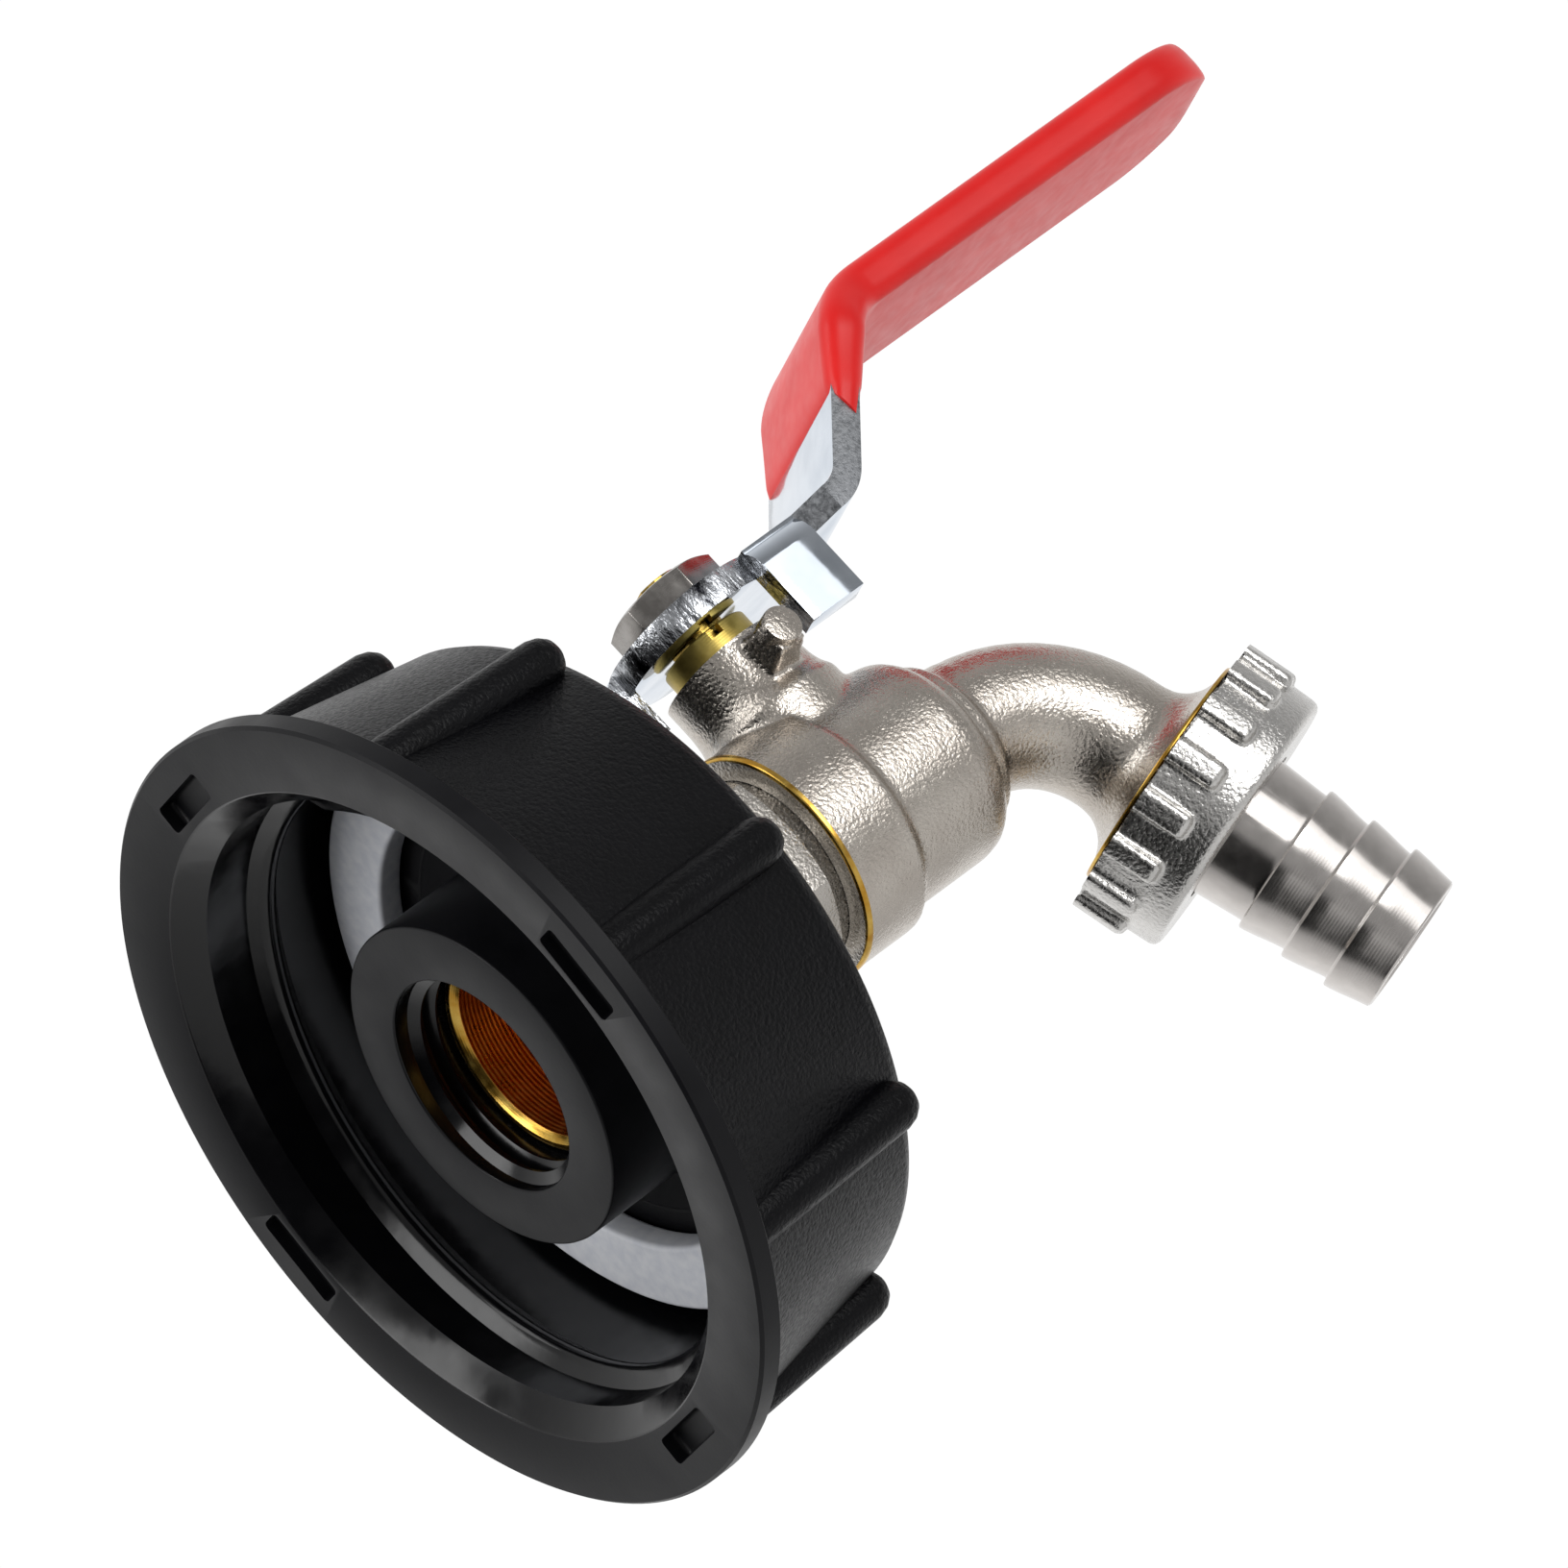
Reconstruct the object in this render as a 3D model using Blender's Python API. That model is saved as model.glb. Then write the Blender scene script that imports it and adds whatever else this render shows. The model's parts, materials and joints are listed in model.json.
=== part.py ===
"""Tank outlet valve: a coarse-thread coupling nut with its spigot and gasket, a quarter-turn
ball valve with a sleeved lever, and a union nut that holds a barbed hose tail.

Frame: +X is the flow, away from the tank, and +Z is the valve stem, up. The origin lies on the
coupling's axis, in the plane of its front rim. Lengths are in metres and angles in degrees."""

import math

import bmesh
import bpy
from mathutils import Vector

# Fits shared by all pieces
SEAT_GAP = 0.0003
RUN_GAP = 0.0004
SLEEVE_GAP = 0.0002
CUT_OVERRUN = 0.001

# Facets of round pieces
MAIN_STEPS = 36
SPOUT_STEPS = 24
SMALL_STEPS = 20
FLATS_STEPS = 6
HEX_STEPS = 4
NUT_STEPS = 4
TURN = 2 * math.pi
NUT_CORNER_SHARES = (0.0, 0.45, 1.0)

# Ball and seats: the water way that the other pieces are built round
PORT_RADIUS = 0.0050
BALL_RADIUS = 0.0075
BALL_STEPS = 8
BALL_CLEARANCE = 0.0005
SEAT_PORT_STEP = 0.0003
SEAT_EDGE_WIDTH = 0.0007
SEAT_THICKNESS = 0.0042
SEAT_FACE_STEPS = 4
BALL_SLOT_WIDTH = 0.0026
BALL_SLOT_DEPTH = 0.0017
CHAMBER_RADIUS = BALL_RADIUS + BALL_CLEARANCE
SEAT_POCKET_RADIUS = CHAMBER_RADIUS
SEAT_INNER_RADIUS = PORT_RADIUS + SEAT_PORT_STEP
SEAT_OUTER_RADIUS = SEAT_POCKET_RADIUS - SEAT_GAP
SEAT_LAND_RADIUS = SEAT_OUTER_RADIUS - SEAT_EDGE_WIDTH
SEAT_BALL_RADIUS = BALL_RADIUS + SEAT_GAP
SEAT_INNER_REACH = math.sqrt(SEAT_BALL_RADIUS**2 - SEAT_INNER_RADIUS**2)
SEAT_LAND_REACH = math.sqrt(SEAT_BALL_RADIUS**2 - SEAT_LAND_RADIUS**2)
SEAT_BACK_REACH = SEAT_LAND_REACH + SEAT_THICKNESS

# Inlet connector: threaded tail, spanner hexagon and screwed nose
CONNECTOR_NOSE_WALL = 0.0010
CONNECTOR_NECK_WALL = 0.0004
CONNECTOR_TAIL_WALL = 0.0016
CONNECTOR_SETBACK = 0.0054
CONNECTOR_NECK_LENGTH = 0.0016
INLET_CHAMFER = 0.0006
HEX_WALL = 0.0014
HEX_LENGTH = 0.0088
HEX_CHAMFER = 0.0013
HEX_FACE_INSET = 0.0007
NOSE_LENGTH = 0.0057
BORE_TAPER_LENGTH = 0.0050
CONNECTOR_NECK_RADIUS = SEAT_POCKET_RADIUS + CONNECTOR_NOSE_WALL
INLET_BORE_RADIUS = CONNECTOR_NECK_RADIUS - CONNECTOR_NECK_WALL
CONNECTOR_TAIL_RADIUS = INLET_BORE_RADIUS + CONNECTOR_TAIL_WALL
HEX_ACROSS_FLATS = 2 * (INLET_BORE_RADIUS + HEX_WALL)
HEX_FACE_RADIUS = HEX_ACROSS_FLATS / 2 - HEX_FACE_INSET

# Coupling nut: S60x6 coarse female thread, grip ribs outside
COUPLING_DEPTH = 0.0250
TANK_THREAD_RADIUS = 0.0303
MOUTH_FLARE = 0.0022
MOUTH_TAPER_DEPTH = 0.0024
COUPLING_WALL = 0.0028
WALL_TAPER = 0.0035
WALL_BACK_ROUND = 0.0016
RIM_STANDOUT = 0.0024
RIM_THICKNESS = 0.0024
RIM_EDGE_BREAK = 0.0004
LIP_THICKNESS = 0.0032
RIB_COUNT = 8
RIB_TURN = 8.0
RIB_WIDTH = 0.0046
RIB_FRONT_HEIGHT = 0.0010
RIB_BACK_HEIGHT = 0.0032
RIB_END_ROUND = 0.0026
RIB_ACROSS_SHARES = (-1.0, -0.9, -0.66, -0.33, 0.0, 0.33, 0.66, 0.9, 1.0)
RIB_BETWEEN_STEPS = 2
ROUND_END_SHARES = (0.0, 0.45, 0.8, 0.97)
POCKET_COUNT = 4
POCKET_LENGTH = 0.0088
POCKET_WIDTH = 0.0027
POCKET_INSET = 0.0021
POCKET_DEPTH = 0.0016
MOUTH_RADIUS = TANK_THREAD_RADIUS + MOUTH_FLARE
WALL_BACK_RADIUS = TANK_THREAD_RADIUS + COUPLING_WALL
WALL_FRONT_RADIUS = WALL_BACK_RADIUS + WALL_TAPER
RIM_RADIUS = WALL_FRONT_RADIUS + RIM_STANDOUT
POCKET_RADIUS = MOUTH_RADIUS + POCKET_INSET

# Spigot: the boss and flange that the coupling nut pulls onto the tank
SPIGOT_FACE_X = 0.0054
SPIGOT_WALL = 0.0054
SPIGOT_EDGE_BREAK = 0.0004
SPIGOT_ROOT_ROUND = 0.0012
SPIGOT_FLANGE_CLEARANCE = 0.0013
SPIGOT_FLANGE_THICKNESS = 0.0029
SPIGOT_NECK_WALL = 0.0046
SPIGOT_NECK_LENGTH = 0.0080
SPIGOT_BORE_RADIUS = CONNECTOR_TAIL_RADIUS + SEAT_GAP
SPIGOT_RADIUS = SPIGOT_BORE_RADIUS + SPIGOT_WALL
SPIGOT_NECK_RADIUS = SPIGOT_BORE_RADIUS + SPIGOT_NECK_WALL
SPIGOT_FLANGE_RADIUS = TANK_THREAD_RADIUS - SPIGOT_FLANGE_CLEARANCE
LIP_HOLE_RADIUS = SPIGOT_NECK_RADIUS + RUN_GAP

# Tank gasket: flat ring between the spigot flange and the tank's outlet
GASKET_THICKNESS = 0.0028
GASKET_CLEARANCE = 0.0015
GASKET_WIDTH = 0.0064
GASKET_OUTER_RADIUS = TANK_THREAD_RADIUS - GASKET_CLEARANCE
GASKET_INNER_RADIUS = GASKET_OUTER_RADIUS - GASKET_WIDTH

# Washer between the spigot and the connector
INLET_WASHER_THICKNESS = 0.0010
INLET_WASHER_WIDTH = 0.0035
INLET_WASHER_RADIUS = SPIGOT_BORE_RADIUS + INLET_WASHER_WIDTH

# Valve body: casting round the ball, with the elbow spout
STEM_DISTANCE = 0.0101
BODY_FRONT_WALL = 0.00185
BODY_RING_STANDOUT = 0.0001
BODY_RING_BREAK = 0.0003
BODY_FRONT_LENGTH = 0.0074
BODY_STEP_ROUND = 0.0010
BODY_WALL = 0.0020
BODY_BACK_LENGTH = 0.0101
BODY_SHOULDER_LENGTH = 0.0025
BODY_SHOULDER_STANDOUT = 0.0020
BODY_BEAD_STANDOUT = 0.0016
BODY_BEAD_LENGTH = 0.0013
BODY_BEAD_FILLET = 0.0012
NOSE_SOCKET_RADIUS = CONNECTOR_NECK_RADIUS + SEAT_GAP
BODY_FRONT_RADIUS = NOSE_SOCKET_RADIUS + BODY_FRONT_WALL
BODY_RING_RADIUS = BODY_FRONT_RADIUS + BODY_RING_STANDOUT
BODY_RADIUS = CHAMBER_RADIUS + BODY_WALL

# Elbow spout and its outlet thread
SPOUT_WALL = 0.0014
SPOUT_STRAIGHT_LENGTH = 0.0119
SPOUT_LEAN = 15.0
SPOUT_BEND_RADIUS = 0.0123
SPOUT_BEND_STEPS = 8
OUTLET_DISTANCE = 0.0142
SPOUT_FLARE_LENGTH = 0.0040
SPOUT_FLARE_STEPS = 5
OUTLET_THREAD_RADIUS = 0.0102
OUTLET_THREAD_LENGTH = 0.0030
SPOUT_FLANGE_STANDOUT = 0.0008
SPOUT_TUBE_RADIUS = PORT_RADIUS + SPOUT_WALL
SPOUT_FLANGE_RADIUS = OUTLET_THREAD_RADIUS + SPOUT_FLANGE_STANDOUT
BODY_SHOULDER_RADIUS = SPOUT_TUBE_RADIUS + BODY_SHOULDER_STANDOUT
BODY_BEAD_RADIUS = SPOUT_TUBE_RADIUS + BODY_BEAD_STANDOUT

# Stem and its seals
STEM_RADIUS = 0.0030
STEM_FLANGE_STANDOUT = 0.0011
STEM_FLANGE_THICKNESS = 0.0011
STEM_TANG_LENGTH = 0.0058
STEM_THREAD_STEP = 0.0002
STEM_FLATS_INSET = 0.0007
STEM_STANDOUT = 0.0006
STEM_FLATS_LENGTH = 0.0075
THRUST_WASHER_THICKNESS = 0.0006
STEM_WEB_THICKNESS = 0.0012
PACKING_WIDTH = 0.0012
PACKING_THICKNESS = 0.0016
O_RING_SECTION_STEPS = 8
GLAND_DEPTH = 0.0024
GLAND_STANDOUT = 0.0024
GLAND_SLOT_WIDTH = 0.0026
GLAND_SLOT_DEPTH = 0.0012
GLAND_SLOT_TURN = -100.0
STEM_FLANGE_RADIUS = STEM_RADIUS + STEM_FLANGE_STANDOUT
STEM_THREAD_RADIUS = STEM_RADIUS - STEM_THREAD_STEP
STEM_FLATS = 2 * (STEM_THREAD_RADIUS - STEM_FLATS_INSET)
STEM_TANG_WIDTH = BALL_SLOT_WIDTH - 2 * SEAT_GAP
STEM_BORE_RADIUS = STEM_RADIUS + SEAT_GAP
PACKING_BORE_RADIUS = STEM_BORE_RADIUS + PACKING_WIDTH + SEAT_GAP
O_RING_SECTION_RADIUS = PACKING_WIDTH / 2
GLAND_RADIUS = PACKING_BORE_RADIUS - SEAT_GAP

# Stem boss with its stop peg
BOSS_WALL = 0.0015
BOSS_EDGE_ROUND = 0.0005
BOSS_FLARE_WIDTH = 0.0008
BOSS_FLARE_TOP_DROP = 0.0030
BOSS_FLARE_BASE_DROP = 0.0063
FLARE_SHARES = (0.0, 0.3, 0.6, 0.85, 1.0)
PEG_TURN = -81.5
PEG_STANDOUT = 0.0039
PEG_RADIUS = 0.00185
PEG_DROP = 0.0025
PEG_BASE_WIDTH = 0.0044
PEG_BASE_ABOVE = 0.0019
PEG_BASE_BELOW = 0.0031
PEG_STEPS = 24
PEG_EDGE_BREAK = 0.0003
BOSS_RADIUS = PACKING_BORE_RADIUS + BOSS_WALL
BOSS_BASE_RADIUS = BOSS_RADIUS + BOSS_FLARE_WIDTH
PEG_REACH = BOSS_RADIUS + PEG_STANDOUT

# Lever, its sleeve and nut
LEVER_THICKNESS = 0.0026
LEVER_DISC_RADIUS = 0.0084
LEVER_ROOT_HALF_WIDTH = 0.00825
LEVER_RISE_HALF_WIDTH = 0.0105
LEVER_ARM_HALF_WIDTH = 0.0079
LEVER_ROOT_DISTANCE = 0.0044
LEVER_LOWER_CORNER_DISTANCE = 0.01555
LEVER_RISE_SLOPE = 47.0
LEVER_ARM_HEIGHT = 0.0159
LEVER_REACH = 0.0764
LEVER_LOWER_BEND = 0.0045
LEVER_UPPER_BEND = 0.0085
LEVER_BEND_STEPS = 5
TIP_SHARES = (0.0, 0.35, 0.62, 0.82, 0.94, 0.99)
STOP_TAB_LENGTH = 0.0062
STOP_TAB_DROP = 0.0064
STOP_TAB_STANDOUT = 0.00115
CLOSE_TAB_START = 0.0009
CLOSE_TAB_LENGTH = 0.0040
CLOSE_TAB_DROP = 0.0044
CLOSE_TAB_STANDOUT = 0.0018
TAB_BEND_STEPS = 4
SLEEVE_WALL = 0.00065
SLEEVE_MOUTH_WALL = 0.00025
SLEEVE_CORNER = 0.0013
SLEEVE_POCKET_CORNER = 0.0002
SLEEVE_CORNER_POINTS = 3
SLEEVE_MOUTH_DISTANCE = 0.0096
NUT_ACROSS_FLATS = 0.0100
NUT_HEIGHT = 0.0029
NUT_CHAMFER = 0.0006
NUT_FACE_INSET = 0.0003
STOP_TAB_REACH = LEVER_ROOT_HALF_WIDTH + STOP_TAB_STANDOUT
CLOSE_TAB_REACH = LEVER_DISC_RADIUS + CLOSE_TAB_STANDOUT
NUT_FACE_RADIUS = NUT_ACROSS_FLATS / 2 - NUT_FACE_INSET

# Union nut, hose gasket and hose tail
UNION_WALL = 0.0025
UNION_TAPER = 0.0002
UNION_EDGE_BREAK = 0.0005
UNION_LIP_THICKNESS = 0.0015
UNION_PLAY = 0.0005
UNION_GRIP_COUNT = 16
UNION_GRIP_LENGTH = 0.0050
UNION_GRIP_HEIGHT = 0.0009
UNION_GRIP_WIDTH = 0.0024
UNION_ACROSS_SHARES = (-1.0, -0.7, 0.0, 0.7, 1.0)
UNION_BETWEEN_STEPS = 0
HOSE_GASKET_THICKNESS = 0.0012
HOSE_GASKET_STEP = 0.0005
TAIL_BORE_RADIUS = 0.0053
TAIL_COLLAR_THICKNESS = 0.0012
TAIL_NECK_WALL = 0.0017
TAIL_NECK_END_WALL = 0.0013
TAIL_NECK_STANDOUT = 0.0049
TAIL_EDGE_BREAK = 0.0003
BARB_COUNT = 3
BARB_PITCH = 0.00447
BARB_WALL = 0.0019
BARB_ROOT_WALL = 0.00125
UNION_BORE_RADIUS = OUTLET_THREAD_RADIUS + SEAT_GAP
UNION_BACK_RADIUS = UNION_BORE_RADIUS + UNION_WALL
UNION_FRONT_RADIUS = UNION_BACK_RADIUS - UNION_TAPER
HOSE_GASKET_INNER_RADIUS = TAIL_BORE_RADIUS + HOSE_GASKET_STEP
TAIL_COLLAR_RADIUS = UNION_BORE_RADIUS - RUN_GAP
TAIL_NECK_RADIUS = TAIL_BORE_RADIUS + TAIL_NECK_WALL
TAIL_NECK_END_RADIUS = TAIL_BORE_RADIUS + TAIL_NECK_END_WALL
BARB_RADIUS = TAIL_BORE_RADIUS + BARB_WALL
BARB_ROOT_RADIUS = TAIL_BORE_RADIUS + BARB_ROOT_WALL

# Colours as linear red, green, blue
BLACK_PLASTIC = (0.012, 0.012, 0.014)
WHITE_RUBBER = (0.62, 0.63, 0.68)
NICKEL = (0.48, 0.45, 0.41)
BRASS = (0.60, 0.40, 0.10)
CHROME = (0.72, 0.74, 0.76)
RED_VINYL = (0.66, 0.02, 0.02)
WHITE_PTFE = (0.80, 0.80, 0.78)
BLACK_RUBBER = (0.02, 0.02, 0.02)


def clear_scene():
    """Remove every object of the scene that the script starts in."""
    for obj in list(bpy.data.objects):
        bpy.data.objects.remove(obj, do_unlink=True)


def material(name, colour, roughness, metallic):
    """A plain Principled material for one sub-part."""
    made = bpy.data.materials.new(name)
    made.use_nodes = True
    shader = made.node_tree.nodes["Principled BSDF"]
    shader.inputs["Base Color"].default_value = (*colour, 1.0)
    shader.inputs["Roughness"].default_value = roughness
    shader.inputs["Metallic"].default_value = metallic
    return made


def axis_empty(name, location, turn):
    """An empty whose local Z is a joint axis. Turn holds degrees about X, Y and Z."""
    empty = bpy.data.objects.new(name, None)
    empty.location = location
    empty.rotation_euler = [math.radians(angle) for angle in turn]
    bpy.context.scene.collection.objects.link(empty)
    return empty


def solid(name, bm, parent, smooth_angle=35.0):
    """Turn a bmesh into an object under a parent, smooth except at its sharp edges."""
    mesh = bpy.data.meshes.new(name)
    bm.to_mesh(mesh)
    bm.free()
    mesh.shade_smooth()
    mesh.set_sharp_from_angle(angle=math.radians(smooth_angle))
    obj = bpy.data.objects.new(name, mesh)
    obj.parent = parent
    bpy.context.scene.collection.objects.link(obj)
    return obj


def dress(obj, colour, roughness, metallic):
    """Give a sub-part a material of its own."""
    obj.data.materials.append(material(obj.name + "_finish", colour, roughness, metallic))


def combine(target, helper, operation):
    """Add or cut a helper solid, which stays in the scene as a hidden wire."""
    helper.hide_render = True
    helper.display_type = "WIRE"
    modifier = target.modifiers.new(helper.name, "BOOLEAN")
    modifier.operation = operation
    modifier.solver = "EXACT"
    modifier.object = helper


def loft(rings, closed=False):
    """Skin rings of equal point counts. Closed joins the last ring to the first, else both are capped."""
    bm = bmesh.new()
    rows = [[bm.verts.new(point) for point in row] for row in rings]
    pairs = list(zip(rows, rows[1:]))
    if closed:
        pairs.append((rows[-1], rows[0]))
    for lower, upper in pairs:
        for i in range(len(lower)):
            j = (i + 1) % len(lower)
            bm.faces.new((lower[i], lower[j], upper[j], upper[i]))
    if not closed:
        bm.faces.new(rows[0][::-1])
        bm.faces.new(rows[-1])
    bmesh.ops.recalc_face_normals(bm, faces=bm.faces)
    return bm


def circle(radius, height, steps):
    """Points of a circle about local Z."""
    angles = [TURN * i / steps for i in range(steps)]
    return [Vector((radius * math.cos(a), radius * math.sin(a), height)) for a in angles]


def turned(profile, steps, closed=True):
    """A turned piece. The profile holds (height, radius) pairs; closed means a ring with a bore."""
    return loft([circle(radius, height, steps) for height, radius in profile], closed)


def prism(outline, bottom, top):
    """A flat outline of (x, y) pairs between two heights."""
    return loft([[Vector((x, y, z)) for x, y in outline] for z in (bottom, top)])


def box(low, high):
    """A box between two corners."""
    outline = [(low[0], low[1]), (high[0], low[1]), (high[0], high[1]), (low[0], high[1])]
    return prism(outline, low[2], high[2])


def double_flat(radius, across, steps):
    """Outline of a round bar with two flats that face along X."""
    half = math.asin(across / 2 / radius)
    outline = []
    for side in (1, -1):
        for i in range(steps + 1):
            angle = half * (1 - 2 * i / steps)
            outline.append((side * radius * math.sin(angle), side * radius * math.cos(angle)))
    return outline


def nut_rings(across_flats, face_radius, chamfer, bottom, top, steps):
    """Rings of a hexagon whose corners are turned down to a smaller circle at both faces."""
    flat = across_flats / 2
    corner = flat / math.cos(TURN / 12)
    rings = []
    shares = [(bottom + chamfer * share, share) for share in NUT_CORNER_SHARES]
    shares += [(top - chamfer * share, share) for share in NUT_CORNER_SHARES[::-1]]
    for height, share in shares:
        limit = face_radius + (corner - face_radius) * share
        ring = []
        for i in range(6 * steps):
            angle = TURN * i / (6 * steps)
            offset = (angle + TURN / 12) % (TURN / 6) - TURN / 12
            radius = min(flat / math.cos(offset), limit)
            ring.append(Vector((radius * math.cos(angle), radius * math.sin(angle), height)))
        rings.append(ring)
    return rings


def gripped_ring(count, turn, across_shares, width, radius, between_steps):
    """Angles round a ribbed ring, each with the share of the rib's height that it carries."""
    period = TURN / count
    half = math.asin(width / 2 / radius)
    made = []
    for i in range(count):
        middle = math.radians(turn) + i * period
        for share in across_shares:
            made.append((middle + share * half, math.sqrt(max(0.0, 1 - share * share))))
        for j in range(between_steps):
            step = (period - 2 * half) * (j + 1) / (between_steps + 1)
            made.append((middle + half + step, 0.0))
    return made


def ribbed(around, radius, height, rib):
    """One ring of a ribbed wall."""
    ring = []
    for angle, share in around:
        reach = radius + rib * share
        ring.append(Vector((reach * math.cos(angle), reach * math.sin(angle), height)))
    return ring


# Places along the flow, worked out from the coupling nut's lip backwards
LIP_FRONT_X = COUPLING_DEPTH - LIP_THICKNESS
SPIGOT_FLANGE_BACK_X = LIP_FRONT_X - SEAT_GAP
SPIGOT_FLANGE_FRONT_X = SPIGOT_FLANGE_BACK_X - SPIGOT_FLANGE_THICKNESS
GASKET_BACK_X = SPIGOT_FLANGE_FRONT_X - SEAT_GAP
GASKET_FRONT_X = GASKET_BACK_X - GASKET_THICKNESS
SPIGOT_BACK_X = SPIGOT_FLANGE_BACK_X + SPIGOT_NECK_LENGTH
INLET_WASHER_FRONT_X = SPIGOT_BACK_X + SEAT_GAP
INLET_WASHER_BACK_X = INLET_WASHER_FRONT_X + INLET_WASHER_THICKNESS
CONNECTOR_END_X = SPIGOT_FACE_X + CONNECTOR_SETBACK
HEX_FRONT_X = INLET_WASHER_BACK_X + SEAT_GAP
HEX_BACK_X = HEX_FRONT_X + HEX_LENGTH
BODY_FRONT_X = HEX_BACK_X + CONNECTOR_NECK_LENGTH
BODY_STEP_X = BODY_FRONT_X + BODY_FRONT_LENGTH
BODY_BACK_X = BODY_STEP_X + BODY_BACK_LENGTH
SHOULDER_END_X = BODY_BACK_X + BODY_SHOULDER_LENGTH
STEM_X = BODY_FRONT_X + STEM_DISTANCE
NOSE_BACK_X = BODY_FRONT_X + NOSE_LENGTH
SEAT_POCKET_FRONT_X = STEM_X - SEAT_BACK_REACH - SEAT_GAP
SEAT_POCKET_BACK_X = STEM_X + SEAT_BACK_REACH + SEAT_GAP
SPOUT_CORNER_X = SHOULDER_END_X + SPOUT_STRAIGHT_LENGTH

# Places along the stem, worked out from the ball upwards
BALL_SLOT_FLOOR_Z = BALL_RADIUS - BALL_SLOT_DEPTH
TANG_BOTTOM_Z = BALL_SLOT_FLOOR_Z + SEAT_GAP
STEM_FLANGE_BOTTOM_Z = BALL_RADIUS + RUN_GAP
STEM_FLANGE_TOP_Z = STEM_FLANGE_BOTTOM_Z + STEM_FLANGE_THICKNESS
THRUST_WASHER_BOTTOM_Z = STEM_FLANGE_TOP_Z + SEAT_GAP
THRUST_WASHER_TOP_Z = THRUST_WASHER_BOTTOM_Z + THRUST_WASHER_THICKNESS
STEM_WEB_BOTTOM_Z = THRUST_WASHER_TOP_Z + SEAT_GAP
STEM_WEB_TOP_Z = STEM_WEB_BOTTOM_Z + STEM_WEB_THICKNESS
O_RING_Z = STEM_WEB_TOP_Z + SEAT_GAP + O_RING_SECTION_RADIUS
PACKING_BOTTOM_Z = O_RING_Z + O_RING_SECTION_RADIUS + SEAT_GAP
PACKING_TOP_Z = PACKING_BOTTOM_Z + PACKING_THICKNESS
GLAND_BOTTOM_Z = PACKING_TOP_Z + SEAT_GAP
BOSS_TOP_Z = GLAND_BOTTOM_Z + GLAND_DEPTH
BOSS_FOOT_Z = CHAMBER_RADIUS / 2
PEG_Z = BOSS_TOP_Z - PEG_DROP
GLAND_TOP_Z = BOSS_TOP_Z + GLAND_STANDOUT
LEVER_BOTTOM_Z = GLAND_TOP_Z + SEAT_GAP
LEVER_TOP_Z = LEVER_BOTTOM_Z + LEVER_THICKNESS
LEVER_ARM_Z = LEVER_BOTTOM_Z + LEVER_ARM_HEIGHT
NUT_BOTTOM_Z = LEVER_TOP_Z + SEAT_GAP
NUT_TOP_Z = NUT_BOTTOM_Z + NUT_HEIGHT

# Places along the outlet, measured from the union nut's back face
OUTLET_LEAN = math.radians(SPOUT_LEAN)
OUTLET_DIRECTION = Vector((math.sin(OUTLET_LEAN), 0.0, -math.cos(OUTLET_LEAN)))
SPOUT_CORNER = Vector((SPOUT_CORNER_X, 0.0, 0.0))
OUTLET_ORIGIN = SPOUT_CORNER + OUTLET_DIRECTION * OUTLET_DISTANCE
HOSE_GASKET_START = OUTLET_THREAD_LENGTH + SEAT_GAP
HOSE_GASKET_END = HOSE_GASKET_START + HOSE_GASKET_THICKNESS
TAIL_START = HOSE_GASKET_END + SEAT_GAP
TAIL_COLLAR_END = TAIL_START + TAIL_COLLAR_THICKNESS
UNION_LIP_START = TAIL_COLLAR_END + UNION_PLAY
UNION_LENGTH = UNION_LIP_START + UNION_LIP_THICKNESS
TAIL_NECK_END = UNION_LENGTH + TAIL_NECK_STANDOUT
BARB_END = TAIL_NECK_END + BARB_COUNT * BARB_PITCH


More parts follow.
